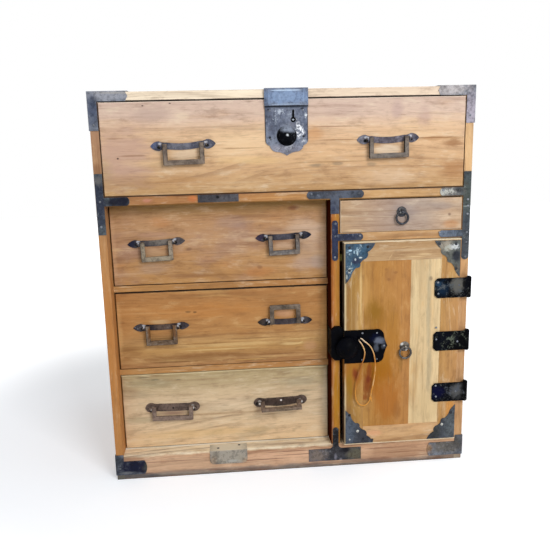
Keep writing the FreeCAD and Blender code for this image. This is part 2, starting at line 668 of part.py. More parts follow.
carry = {"left": side_handle(-1), "right": side_handle(1)}
sides[0] = sides[0].cut(carry["left"]["holes"])
sides[1] = sides[1].cut(carry["right"]["holes"])
save("carry_handle_irons", *(carry["left"]["irons"] + carry["right"]["irons"]))
for side in ("left", "right"):
    save("carry_bail_" + side, carry[side]["bail"])

# Cupboard door


def door_frame():
    """Two stiles and two tenoned rails, grooved for the panel boards."""
    back = DOOR_Y + DOOR_T
    x_in0, x_in1 = DOOR_X0 + STILE_W, DOOR_X1 - STILE_W
    z_in0, z_in1 = DOOR_Z0 + DOOR_RAIL_W, DOOR_Z1 - DOOR_RAIL_W
    stiles = [
        box(DOOR_X0, x_in0, DOOR_Y, back, DOOR_Z0, DOOR_Z1),
        box(x_in1, DOOR_X1, DOOR_Y, back, DOOR_Z0, DOOR_Z1),
    ]
    stiles[0] = rounded(stiles[0], DOOR_EDGE_R, lambda edge: edge_at(edge, DOOR_X0))
    stiles[1] = rounded(stiles[1], DOOR_EDGE_R, lambda edge: edge_at(edge, DOOR_X1))
    third = DOOR_T / 3
    rails = []
    for z0, z1 in ((DOOR_Z0, z_in0), (z_in1, DOOR_Z1)):
        rail = box(x_in0, x_in1, DOOR_Y, back, z0, z1)
        tenon = box(
            x_in0 - DOOR_TENON, x_in1 + DOOR_TENON, DOOR_Y + third, back - third,
            z0 + third, z1 - third,
        )
        rails.append(rail.fuse(tenon))
    stiles = [stile.cut(rails) for stile in stiles]
    y_panel = DOOR_Y + PANEL_SINK
    x_split = x_in1 - PALE_BOARD_W
    boards = [
        panel_board(x_in0, x_split, z_in0, z_in1, y_panel, -1),
        panel_board(x_split, x_in1, z_in0, z_in1, y_panel, 1),
    ]
    stiles = [stile.cut(boards) for stile in stiles]
    rails = [rail.cut(boards) for rail in rails]
    return stiles, rails, boards


def edge_at(edge, x):
    """An outer front arris of the door at that side."""
    return all(abs(p.X - x) < 1e-6 and abs(p.Y - DOOR_Y) < 1e-6 for p in edge.Vertexes)


def panel_board(x0, x1, z0, z1, y, outer):
    """Panel board whose tongue runs in the frame's groove on three sides."""
    tongue_x0 = x0 - PANEL_TONGUE if outer < 0 else x0
    tongue_x1 = x1 + PANEL_TONGUE if outer > 0 else x1
    face = box(x0, x1, y, y + PANEL_T, z0, z1)
    tongue = box(
        tongue_x0, tongue_x1, y + PANEL_T / 3, y + PANEL_T,
        z0 - PANEL_TONGUE, z1 + PANEL_TONGUE,
    )
    return face.fuse(tongue).removeSplitter()


def corner_iron(x, z, along_x, along_z):
    """Cusped triangle at a door corner; along_x and along_z are signed lengths."""
    def at(u, w):
        return (x + u * along_x, z + w * along_z)
    steps = [
        at(0, 0), at(1, 0),
        (at(0.90, 0.13), at(0.75, 0.22)),
        (at(0.745, 0.33), at(0.66, 0.39)),
        (at(0.57, 0.43), at(0.50, 0.50)),
        (at(0.485, 0.575), at(0.37, 0.60)),
        (at(0.27, 0.68), at(0.19, 0.82)),
        (at(0.10, 0.92), at(0, 1)),
    ]
    return sheet(steps, DOOR_Y, DOOR_IRON_T)


def door_leaf(z):
    """Strap on the door that reaches past the case's edge, with the two outer knuckles."""
    x0 = HINGE_X - HINGE_LEAF
    z0, z1 = z - HINGE_H / 2, z + HINGE_H / 2
    steps = [
        (HINGE_X, z0), (HINGE_X, z1), (x0 + HINGE_CUT, z1), (x0, z1 - HINGE_CUT),
        (x0, z0 + HINGE_CUT), (x0 + HINGE_CUT, z0),
    ]
    leaf = sheet(steps, DOOR_Y, HINGE_T)
    third = HINGE_H / 3
    knuckles = [barrel(z0, third - HINGE_GAP), barrel(z1 - third + HINGE_GAP, third - HINGE_GAP)]
    middle = barrel(z - third / 2 - HINGE_GAP, third + 2 * HINGE_GAP, HINGE_BARREL_R + HINGE_GAP)
    return leaf.cut(middle).fuse(knuckles).cut(pin_hole(z0)).removeSplitter()


def case_leaf(z):
    """Case leaf: middle knuckle on a tongue of the strap along the outside of the case."""
    z0, z1 = z - HINGE_H / 2, z + HINGE_H / 2
    third = HINGE_H / 3
    strap = box(X_RIGHT, X_RIGHT + HINGE_T, Y_FRONT, Y_FRONT + HINGE_WRAP, z0, z1)
    tongue = box(X_RIGHT, X_RIGHT + HINGE_T, HINGE_Y, Y_FRONT, z0 + third, z1 - third)
    leaf = strap.fuse([tongue, barrel(z0 + third, third)])
    return leaf.cut(pin_hole(z0)).removeSplitter()


def barrel(z0, height, radius=None):
    return cylinder((HINGE_X, HINGE_Y, z0), (0, 0, 1), radius or HINGE_BARREL_R, height)


def pin_hole(z0):
    return barrel(z0 - 1, HINGE_H + 2, HINGE_PIN_R + PIN_FIT)


def hinge_pin(z):
    z0 = z - HINGE_H / 2 - HINGE_GAP
    length = HINGE_H + 2 * HINGE_GAP
    heads = [
        barrel(z0 - HINGE_PIN_HEAD_H, HINGE_PIN_HEAD_H, HINGE_PIN_HEAD_R),
        barrel(z0 + length, HINGE_PIN_HEAD_H, HINGE_PIN_HEAD_R),
    ]
    return barrel(z0, length, HINGE_PIN_R).fuse(heads)


def door_lock_plate():
    """Plate of the door lock, pointed towards the hinges, with lobed corners."""
    half = DOOR_LOCK_H / 2
    x1 = DOOR_X0 + DOOR_LOCK_L
    x_lobe = x1 - DOOR_LOCK_POINT
    lobe = half - DOOR_LOCK_LOBE
    swell = (x_lobe + DOOR_LOCK_POINT * 0.52, half - DOOR_LOCK_LOBE * 0.32)
    dip = (x1 - DOOR_LOCK_POINT * 0.18, lobe * 0.42)
    shoulder = (x1 - DOOR_LOCK_POINT * 0.28, lobe * 0.80)
    steps = [(DOOR_X0, LOCK_Z - half), (DOOR_X0, LOCK_Z + half), (x_lobe, LOCK_Z + half)]
    steps += [((swell[0], LOCK_Z + swell[1]), (shoulder[0], LOCK_Z + shoulder[1]))]
    steps += [((dip[0], LOCK_Z + dip[1]), (x1, LOCK_Z))]
    steps += [((dip[0], LOCK_Z - dip[1]), (shoulder[0], LOCK_Z - shoulder[1]))]
    steps += [((swell[0], LOCK_Z - swell[1]), (x_lobe, LOCK_Z - half))]
    return sheet(steps, DOOR_Y, LOCK_PLATE_T)


def keeper():
    """Octagonal iron on the divider that the door's boss closes against."""
    x0, x1 = X_DIV_LEFT, X_DIV_RIGHT + KEEPER_PAST
    z0 = LOCK_Z + KEEPER_RISE - KEEPER_H / 2
    z1 = z0 + KEEPER_H
    cut = KEEPER_CUT
    steps = [(x0 + cut, z0), (x0, z0 + cut), (x0, z1 - cut), (x0 + cut, z1)]
    steps += [(x1 - cut, z1), (x1, z1 - cut), (x1, z0 + cut), (x1 - cut, z0)]
    block = sheet(steps, Y_FRONT, KEEPER_T)
    leg = box(x0 - KEEPER_LEG_T, x0, Y_FRONT - KEEPER_T, Y_FRONT + KEEPER_LEG_D, z0 + cut, z1 - cut)
    return block.fuse(leg).removeSplitter()


def string_eye():
    """Small eye on the lock plate that the string runs through."""
    half = RING_EYE_W / 2
    y = DOOR_Y - LOCK_PLATE_T
    eye = cylinder((-half, y - RING_REACH, 0), (1, 0, 0), RING_EYE_R, RING_EYE_W)
    neck = box(-half, half, y - RING_REACH + RING_EYE_HOLE, y, -half, half)
    hole = cylinder((-half - 1, y - RING_REACH, 0), (1, 0, 0), RING_EYE_HOLE, RING_EYE_W + 2)
    eye = eye.fuse(neck).cut(hole).removeSplitter()
    eye.rotate(V(0, 0, 0), V(0, -1, 0), STRING_EYE_TILT)
    eye.translate(V(DOOR_X0 + STRING_EYE_X, 0, LOCK_Z + STRING_EYE_RISE))
    return eye


stiles, door_rails, panel_boards = door_frame()
lock_point, leaf_end = DOOR_X0 + DOOR_LOCK_L, HINGE_X - HINGE_LEAF
ring_x = lock_point + DOOR_RING_SHARE * (leaf_end - lock_point)
ring_z = DOOR_Z0 + DOOR_RING_RISE
door_rose, door_ring, door_socket = ring_pull(ring_x, DOOR_Y + PANEL_SINK, ring_z)
panel_boards = [board.cut(door_socket) for board in panel_boards]
door_boss = dome(DOOR_BOSS_R, DOOR_BOSS_WALL, DOOR_BOSS_H)
door_boss.translate(V(DOOR_X0 + DOOR_BOSS_X, DOOR_Y - LOCK_PLATE_T, LOCK_Z))
irons_x0, irons_x1 = DOOR_X0 + DOOR_IRON_INSET, DOOR_X1 - DOOR_IRON_INSET
irons_z0, irons_z1 = DOOR_Z0 + DOOR_IRON_INSET, DOOR_Z1 - DOOR_IRON_INSET
low_x, low_z = DOOR_IRON_LOW
latch_x, latch_z = DOOR_IRON_HIGH_LATCH
hinge_x, hinge_z = DOOR_IRON_HIGH_HINGE
save("door_stiles", *stiles)
save("door_rails", *door_rails)
save("door_panel", *panel_boards)
save(
    "door_corner_irons",
    corner_iron(irons_x0, irons_z0, low_x, low_z),
    corner_iron(irons_x1, irons_z0, -low_x, low_z),
    corner_iron(irons_x0, irons_z1, latch_x, -latch_z),
    corner_iron(irons_x1, irons_z1, -hinge_x, -hinge_z),
)
save("door_lock_plate", door_lock_plate(), string_eye())
save("door_lock_boss", door_boss)
save("door_rose", door_rose)
save("door_ring", door_ring)
save("hinge_door_leaves", *[door_leaf(z) for z in HINGE_LEVELS])
save("hinge_case_leaves", *[case_leaf(z) for z in HINGE_LEVELS])
save("hinge_pins", *[hinge_pin(z) for z in HINGE_LEVELS])
save("door_lock_keeper", keeper())

# Irons on the front edges


def plate(x0, x1, z0, z1):
    """Flat iron on the front edges, unless a fold says otherwise."""
    return box(x0, x1, Y_FRONT - IRON_T, Y_FRONT, z0, z1)


def pointed_arm(x0, x1, z0, z1):
    """Flat arm that ends in a shallow point at x1; x1 may lie left or right of x0."""
    middle = (z0 + z1) / 2
    neck = x1 - math.copysign(ARM_POINT, x1 - x0)
    return sheet([(x0, z0), (x0, z1), (neck, z1), (x1, middle), (neck, z0)], Y_FRONT, IRON_T)


def rounded_arm(x0, x1, z0, z1):
    """Flat arm that ends in a shallow curve at x1."""
    middle = (z0 + z1) / 2
    neck = x1 - math.copysign(ARM_POINT, x1 - x0)
    return sheet([(x0, z0), (x0, z1), (neck, z1), ((x1, middle), (neck, z0))], Y_FRONT, IRON_T)


def rounded_leg(x0, x1, z0, z1):
    """Upright leg with a half-round end at z1; z1 may lie above or below z0."""
    half = (x1 - x0) / 2
    neck = z1 - math.copysign(half, z1 - z0)
    return sheet([(x0, z0), (x1, z0), (x1, neck), ((x0 + half, z1), (x0, neck))], Y_FRONT, IRON_T)


def bottom_plate(x0, x1, z0, z1):
    """Flat plate with its two lower corners rounded off."""
    r = STRAP_CORNER_R
    corner = r * (1 - math.sqrt(0.5))
    steps = [(x0, z1), (x1, z1), (x1, z0 + r), ((x1 - corner, z0 + corner), (x1 - r, z0))]
    steps += [(x0 + r, z0), ((x0 + corner, z0 + corner), (x0, z0 + r))]
    return sheet(steps, Y_FRONT, IRON_T)


def top_corner(sign):
    """Corner iron folded over the top board and the side."""
    x_out = sign * (CASE_W / 2 + IRON_T)
    x_in = sign * (CASE_W / 2 - SIDE_T)
    x_arm = sign * (CASE_W / 2 - CORNER_ARM)
    z1 = CASE_H + IRON_T
    leg_z = Z_TOP_IN - CORNER_LEG_END
    front = pointed_arm(x_out, x_arm, Z_TOP_IN, z1)
    leg = plate(min(x_out, x_in), max(x_out, x_in), leg_z, Z_TOP_IN)
    over = box(
        min(x_out, x_arm), max(x_out, x_arm), Y_FRONT, Y_FRONT + IRON_WRAP, CASE_H, z1
    )
    x_side = sign * CASE_W / 2
    down = box(
        min(x_out, x_side), max(x_out, x_side), Y_FRONT, Y_FRONT + IRON_WRAP, leg_z, z1
    )
    return front.fuse([leg, over, down]).removeSplitter()


def base_corner(sign, arm):
    """Corner iron at the foot, folded along the side."""
    x_out = sign * (CASE_W / 2 + IRON_T)
    x_in = sign * (CASE_W / 2 - SIDE_T)
    x_arm = sign * (CASE_W / 2 - arm)
    x_side = sign * CASE_W / 2
    front = rounded_arm(x_out, x_arm, BASE_IRON_RISE, BASE_IRON_TOP)
    leg = plate(min(x_out, x_in), max(x_out, x_in), BASE_IRON_RISE, BASE_LEG_TOP)
    along = box(
        min(x_out, x_side), max(x_out, x_side), Y_FRONT, Y_FRONT + IRON_WRAP,
        BASE_IRON_RISE, BASE_LEG_TOP,
    )
    return front.fuse([leg, along]).removeSplitter()


def side_iron(sign, z0, z1, leg):
    """Iron where a shelf meets a side board: its leg, and an arm on the shelf."""
    x_in = sign * (CASE_W / 2 - SIDE_T)
    x_arm = sign * (CASE_W / 2 - SIDE_ARM)
    arm = rounded_arm(x_in, x_arm, z0 + ARM_INSET, z1 - ARM_INSET)
    return leg.fuse(arm).removeSplitter()


leg_x0, leg_x1 = X_IN_RIGHT, X_RIGHT - SIDE_LEG_INSET
below, above = SIDE_IRON_LEFT
left_leg = plate(-leg_x1, -leg_x0, Z_SHELF - below, Z_SHELF_TOP + above)
below, above = SIDE_IRON_RIGHT_UP
right_leg = plate(leg_x0, leg_x1, Z_SHELF - below, Z_SHELF_TOP + above)
low_leg = rounded_leg(
    leg_x0, leg_x1, Z_SHELF - below - SIDE_IRON_SEAM, Z_CUPBOARD_TOP - SIDE_IRON_RIGHT_LOW
)

divider_x = (X_DIV_LEFT + X_DIV_RIGHT) / 2
tee_x0, tee_x1 = X_DIV_LEFT + TEE_X[0], X_DIV_RIGHT + TEE_X[1]
iron_z0, iron_z1 = Z_SHELF + SHELF_IRON_INSET, Z_SHELF_TOP - ARM_INSET
divider_tee = rounded_arm(divider_x, tee_x0, iron_z0, iron_z1)
divider_tee = divider_tee.fuse([
    rounded_arm(divider_x, tee_x1, iron_z0, iron_z1),
    plate(X_DIV_LEFT + TEE_LEG_INSET, X_DIV_RIGHT - TEE_LEG_INSET, Z_SHELF - TEE_LEG, iron_z0),
]).removeSplitter()

below, above = DIVIDER_IRON
leg_x0, leg_x1 = divider_x - DIVIDER_LEG_W / 2, divider_x + DIVIDER_LEG_W / 2
leg_z = (Z_CUPBOARD_TOP + Z_SMALL_BAY) / 2
divider_iron = rounded_leg(leg_x0, leg_x1, leg_z, Z_SMALL_BAY + above)
divider_iron = divider_iron.fuse([
    rounded_leg(leg_x0, leg_x1, leg_z, Z_CUPBOARD_TOP - below),
    rounded_arm(
        divider_x, X_DIV_RIGHT + DIVIDER_ARM, Z_CUPBOARD_TOP + ARM_INSET, Z_SMALL_BAY - ARM_INSET
    ),
]).removeSplitter()

leg_x0, leg_x1 = divider_x - FOOT_TEE_LEG_W / 2, divider_x + FOOT_TEE_LEG_W / 2
flare_x0, flare_x1 = leg_x0 - FOOT_TEE_FLARE, leg_x1 + FOOT_TEE_FLARE
flare_z = FOOT_TEE[1] + FOOT_TEE_FLARE
foot_tee = plate(
    X_DIV_LEFT + FOOT_TEE_X[0], X_DIV_RIGHT + FOOT_TEE_X[1], FOOT_TEE[0], FOOT_TEE[1]
)
foot_tee = foot_tee.fuse([
    rounded_leg(leg_x0, leg_x1, FOOT_TEE[1], FOOT_TEE_TOP),
    plate(flare_x0, flare_x1, FOOT_TEE[1], flare_z),
])
foot_tee = foot_tee.cut([
    cylinder((x, Y_FRONT, flare_z), (0, -1, 0), FOOT_TEE_FLARE, IRON_T)
    for x in (flare_x0, flare_x1)
]).removeSplitter()

shelf_strap = plate(STRAP_X[0], STRAP_X[1], iron_z0, iron_z1)
ledge_fold = box(
    STRAP_X[0], STRAP_X[1], Y_FRONT - IRON_T, Y_FRONT + STRAP_FOLD, BASE_H - IRON_T, BASE_H
)
base_strap = bottom_plate(STRAP_X[0], STRAP_X[1], STRAP_RISE, BASE_H)
base_strap = base_strap.fuse(ledge_fold).removeSplitter()
base_rail = base_rail.cut(ledge_fold)

save(
    "corner_irons",
    top_corner(-1), top_corner(1),
    base_corner(-1, BASE_ARM_LEFT), base_corner(1, BASE_ARM_RIGHT),
)
save(
    "side_irons",
    side_iron(-1, Z_SHELF, Z_SHELF_TOP, left_leg),
    side_iron(1, Z_SHELF, Z_SHELF_TOP, right_leg),
    side_iron(1, Z_CUPBOARD_TOP, Z_SMALL_BAY, low_leg),
)
save("divider_irons", divider_tee, divider_iron, foot_tee)
save("strap_irons", shelf_strap, base_strap)

save("side_left", sides[0])
save("side_right", sides[1])
save("top_board", top_board)
save("base_rail", base_rail)
save("floor_boards", floor_board, floor_bearer)
save("back_boards", *back_boards)
save("mid_shelf", mid_shelf)
save("small_shelf", small_shelf)
save("divider", divider)
save("column_rails", *rails)
save("drawer_runners", *runners)
save("door_stop", door_stop)

# String loop: one cord, both ends in the knot, hung through the eye on the lock plate

STRING_ROUTE = (
    (140.6, -205.2, 134.6), (137.6, -205.0, 127.6), (130.6, -205.0, 122.6),
    (121.6, -205.0, 124.6), (115.6, -205.0, 133.0), (113.6, -205.0, 146.0),
    (114.8, -205.2, 162.5), (118.2, -205.4, 180.5), (123.2, -205.6, 197.0),
    (128.6, -205.8, 211.0), (131.0, -205.9, 222.5), (128.6, -205.9, 232.5),
    (123.8, -206.2, 241.2), (118.7, -207.2, 247.8), (123.3, -207.2, 251.4),
    (127.6, -208.0, 246.2), (133.6, -208.4, 241.8), (140.4, -207.8, 235.0),
    (145.8, -207.0, 224.0), (149.0, -206.4, 209.5), (149.8, -205.8, 193.5),
    (148.2, -205.4, 176.0), (145.2, -205.2, 159.5), (142.6, -205.4, 147.5),
    (141.4, -205.6, 138.4),
)
KNOT = V(141.1, -205.4, 136.6)
KNOT_TAIL_TO = V(143.9, -206.0, 130.2)


def cord_path(points):
    """Straight runs joined by tangent arcs, and the radius of each arc."""
    corners = [V(*point) for point in points]
    edges, radii = [], []
    last = corners[0]
    for before, corner, after in zip(corners, corners[1:], corners[2:]):
        incoming, outgoing = corner - before, after - corner
        shorter = min(incoming.Length, outgoing.Length)
        back, ahead = incoming.normalize() * -1, outgoing.normalize()
        half_turn = (math.pi - back.getAngle(ahead)) / 2
        radius = 0.45 * shorter / math.tan(half_turn)
        reach = radius * math.tan(half_turn)
        start, end = corner + back * reach, corner + ahead * reach
        bisector = (back + ahead).normalize()
        middle = corner + bisector * (radius / math.cos(half_turn) - radius)
        edges.append(Part.LineSegment(last, start).toShape())
        edges.append(Part.Arc(start, middle, end).toShape())
        radii.append(radius)
        last = end
    edges.append(Part.LineSegment(last, corners[-1]).toShape())
    return Part.Wire(edges), radii


path, radii = cord_path(STRING_ROUTE)
first = path.Edges[0]
circle = Part.Circle(V(*STRING_ROUTE[0]), first.tangentAt(first.FirstParameter), STRING_D / 2)
string_loop = path.makePipeShell([Part.Wire(circle.toShape())], True, True)
section = math.pi * STRING_D ** 2 / 4
tail_way = KNOT_TAIL_TO - KNOT
string_knot = Part.makeSphere(KNOT_R, KNOT).fuse(
    Part.makeCylinder(STRING_D / 2, KNOT_TAIL_L, KNOT, tail_way)
)
print("string radii", [round(radius, 1) for radius in radii])
share = string_loop.Volume / (section * path.Length)
print("string length", round(path.Length, 1), "volume share", round(share, 4))
save("string_loop", string_loop)
save("string_knot", string_knot)
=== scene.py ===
import math

import bmesh
import bpy
from mathutils import Matrix, Vector


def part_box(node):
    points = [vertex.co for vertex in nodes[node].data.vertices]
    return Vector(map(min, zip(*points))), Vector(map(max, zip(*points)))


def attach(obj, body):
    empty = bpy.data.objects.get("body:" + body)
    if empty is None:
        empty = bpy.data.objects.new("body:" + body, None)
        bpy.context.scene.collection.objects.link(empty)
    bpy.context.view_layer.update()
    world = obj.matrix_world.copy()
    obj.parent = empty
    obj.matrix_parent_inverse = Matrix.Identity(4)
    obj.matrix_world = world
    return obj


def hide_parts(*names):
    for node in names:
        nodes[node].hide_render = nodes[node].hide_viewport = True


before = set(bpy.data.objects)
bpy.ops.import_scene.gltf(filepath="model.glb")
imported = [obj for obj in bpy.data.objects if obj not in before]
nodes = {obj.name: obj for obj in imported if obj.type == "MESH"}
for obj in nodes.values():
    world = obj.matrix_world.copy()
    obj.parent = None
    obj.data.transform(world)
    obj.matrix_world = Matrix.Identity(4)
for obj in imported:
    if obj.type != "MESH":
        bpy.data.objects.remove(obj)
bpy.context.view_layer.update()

MM = 0.001

# Camera: where the photographer stood, in metres, and which way the lens pointed, in radians
CAMERA_PLACE = Vector((-0.1162, -1.2934, 0.6025))
CAMERA_YAW = 0.08274
CAMERA_PITCH = 0.20942
CAMERA_ROLL = -0.02315
FOCAL_PX = 653.9
FRAME_PX = 550
SENSOR_MM = 36.0

# Lamps: place, aim, size in metres and power in watts
LAMPS = {
    "key": ((1.05, -2.45, 1.65), (0.0, -0.15, 0.35), (1.1, 1.1), 45),
    "fill": ((-1.5, -2.3, 1.5), (0.0, -0.15, 0.35), (1.8, 1.5), 7),
    "overhead": ((0.3, -0.2, 2.6), (0.0, 0.0, 0.3), (1.6, 1.6), 11),
}
WORLD_FILL = 0.31

# Floor, in metres. Its glow rises to plain white between two distances from a centre.
FLOOR_SIZE = 8.0
FLOOR_TONE = "ecf1f8"
FLOOR_ROUGHNESS = 0.9
FLOOR_SHINE = 0.1
FLOOR_GLOW = 0.37
FLOOR_FADE = (0.42, 0.95)
FLOOR_FADE_CENTRE = (-0.18, 0.05, 0.0)

# Middle of the round end of the keyhole on the wide drawer, x and z in mm
KEYHOLE = (11.3, 628.5)

# String loop on the door's lock
STRING_RADIUS = 1.1 * MM
# Tones up the cord; the pale stops at the top are a painted highlight where the cord leaves the
# eye
STRING_TONES = (
    (120, "dc9a3c"), (170, "d08c30"), (205, "c47a20"), (235, "e4b87c"), (252, "f4e6cc"),
)
STRING_DARK = "b87434"
STRING_PALE = "f8dca4"
STRING_ROUGHNESS = 0.85
TWIST_SCALE = (900.0, 900.0, 900.0)
FADE_SCALE = (60.0, 60.0, 60.0)
STRING_STAIN = (117, 195, 16, 46, "904c14", 0.85)
STRING_ROUTE = (
    (140.6, -205.2, 134.6), (137.6, -205.0, 127.6), (130.6, -205.0, 122.6),
    (121.6, -205.0, 124.6), (115.6, -205.0, 133.0), (113.6, -205.0, 146.0),
    (114.8, -205.2, 162.5), (118.2, -205.4, 180.5), (123.2, -205.6, 197.0),
    (128.6, -205.8, 211.0), (131.0, -205.9, 222.5), (128.6, -205.9, 232.5),
    (123.8, -206.2, 241.2), (118.7, -207.2, 247.8), (123.3, -207.2, 251.4),
    (127.6, -208.0, 246.2), (133.6, -208.4, 241.8), (140.4, -207.8, 235.0),
    (145.8, -207.0, 224.0), (149.0, -206.4, 209.5), (149.8, -205.8, 193.5),
    (148.2, -205.4, 176.0), (145.2, -205.2, 159.5), (142.6, -205.4, 147.5),
    (141.4, -205.6, 138.4),
)
KNOT_CENTRE = (141.1, -205.4, 136.6)
KNOT_TAIL = (143.9, -206.0, 130.2)
KNOT_THINNER = 0.82
KNOT_SIZE = 0.68
KNOT_STEPS = 24
TAIL_STEPS = (0.0, 0.35, 0.7, 1.0)
TAIL_SWAY = 0.5

# Roughness of smooth and of streaky wood
WOOD_ROUGHNESS = (0.55, 0.72)

# Depth of each material's relief in metres
WOOD_RELIEF, IRON_RELIEF, STRING_RELIEF = 0.0006, 0.0012, 0.0004
BUMP_STRENGTH = 0.6

# Wood. All places and sizes are in mm, and a share of 1 covers what is under it. A ramp is
# an axis and its stops. A cloud is tone, share, size along and across the grain in cycles a
# metre and threshold, and it may end with the z it starts and stops at. A mark is x, z, half
# width, half height, tone and share, and a curl has the line's thickness before its tone. A
# rim is sides of the first node's box (left, right, bottom, top), width, tone and share, and
# it may end with the y where it stops.
WOODS = {}
WOODS["top_drawer_wood"] = dict(
    on=("drawer_top_front",), seed=1,
    ramp=(
        "Z", (512, "bd9464"), (545, "cfa67a"), (585, "e0b78c"), (612, "e0bb96"), (636, "dabda8"),
        (658, "d4b8a6"),
    ),
    clouds=(
        ("b39384", 0.45, 7, 14, 0.54), ("ecc898", 0.5, 5, 26, 0.56), ("b5834c", 0.4, 6, 30, 0.58),
    ),
    marks=(
        (-70, 592, 95, 34, "f0cfa4", 0.55), (-218, 642, 42, 17, "b59a8e", 0.5),
        (-172, 638, 17, 9, "e9d2b4", 0.55), (186, 640, 13, 22, "b39590", 0.45),
        (234, 630, 16, 20, "b08c86", 0.4), (98, 643, 52, 14, "c3a698", 0.45),
        (44, 604, 22, 15, "c98c52", 0.5), (289, 540, 34, 22, "a97648", 0.6),
        (261, 593, 52, 5, "a87440", 0.5), (-298, 554, 16, 26, "9d8a52", 0.5),
        (-268, 578, 62, 62, "c29e8c", 0.75), (-262, 532, 60, 16, "a8825e", 0.5),
        # The pale marks at x -171 and 171, z 576, are painted light that lifts the shade cast by
        # the bails inside them
        (180, 532, 75, 17, "d8b898", 0.55), (-171, 576, 30, 12, "f2d8b8", 0.6),
        (171, 576, 30, 12, "f2dcc0", 0.7), (283, 584, 26, 9, "94643a", 0.7),
        (81, 616, 55, 1.6, "8e6442", 0.6), (81, 594, 46, 1.6, "94683e", 0.6),
        (256, 594, 54, 1.7, "8b5f38", 0.7), (69, 558, 88, 1.6, "96703f", 0.5),
        (49, 553, 16, 4, "7f715c", 0.65), (86, 555, 10, 3.4, "86745c", 0.55),
        (144, 552, 10, 4.2, "85755f", 0.5), (-250, 576, 28, 1.5, "8a6240", 0.55),
        (-78, 584, 44, 1.5, "94693e", 0.55), (-280, 604, 23, 1.5, "96704a", 0.5),
        (-62, 564, 70, 9, "e6c084", 0.4), (-226, 563, 50, 9, "e3c08e", 0.35),
        (-179, 533, 70, 9, "b98a58", 0.45), (-233, 655, 2, 1.3, "3a2a22", 0.9),
        (-189, 658, 2.4, 1.3, "3a2a22", 0.9), (-278, 572, 1.8, 1.6, "3a2a22", 0.9),
    ),
    # Rims: painted shade in the gaps along the left, right and bottom edges, and a painted
    # highlight along the top arris
    rims=(("LRB", 1.3, "38281c", 0.8), ("T", 1.6, "ecd8c6", 0.8)),
)
WOODS["upper_drawer_wood"] = dict(
    on=("drawer_upper_front",), seed=2, fleck=0.3, fibre=0.5, pale="dcbc98",
    # The ramp darkens towards the top: painted shade under the mid shelf
    ramp=(
        "Z", (352, "b4844e"), (390, "b98b5a"), (430, "bc9066"), (466, "b68a60"), (480, "ac8454"),
        (492, "a27c42"),
    ),
    clouds=(
        ("98786e", 0.55, 7, 14, 0.52), ("c68a52", 0.5, 8, 18, 0.56), ("d8b288", 0.35, 5, 30, 0.6),
        ("7c5434", 0.4, 9, 26, 0.58),
    ),
    marks=(
        # The tall pale marks at x 68 and x -302 are painted light along the right and left ends,
        # lifting the shade beside the divider and the side
        (34, 440, 46, 28, "dcc0a8", 0.55), (68, 410, 9, 74, "dcb48c", 0.6),
        (38, 395, 34, 40, "ccae90", 0.4), (-6, 410, 26, 12, "dcb898", 0.6),
        (-227, 407, 26, 12, "c8a480", 0.5), (-95, 458, 40, 14, "a38678", 0.5),
        (-219, 460, 26, 12, "c08450", 0.5), (-49, 368, 38, 11, "be7c44", 0.5),
        (-172, 413, 7, 3.6, "6d4a38", 0.55), (-49, 376, 6, 5, "7a4f30", 0.5),
        (12, 480, 13, 6, "642418", 0.6), (-302, 420, 8, 66, "d8b088", 0.4),
        (-65, 426, 22, 6, "d9b994", 0.5), (-297, 416, 18, 3.5, "d9b688", 0.6),
        (55, 381, 15, 15, "a89486", 0.55), (-172, 366, 54, 5, "8f6340", 0.5),
        (-120, 404, 70, 1.5, "8c6444", 0.5), (10, 440, 60, 1.3, "8f6a4c", 0.45),
        (-230, 440, 40, 8, "b08a78", 0.4), (-20, 400, 60, 12, "cc9a5e", 0.35),
        (28, 378, 36, 13, "b49684", 0.5), (-236, 380, 38, 13, "a88c78", 0.45),
    ),
    # Rims: painted shade in the gaps along the left and bottom edges
    rims=(("L", 1.5, "2e1c10", 0.85), ("B", 2.2, "2a120a", 0.9)),
)
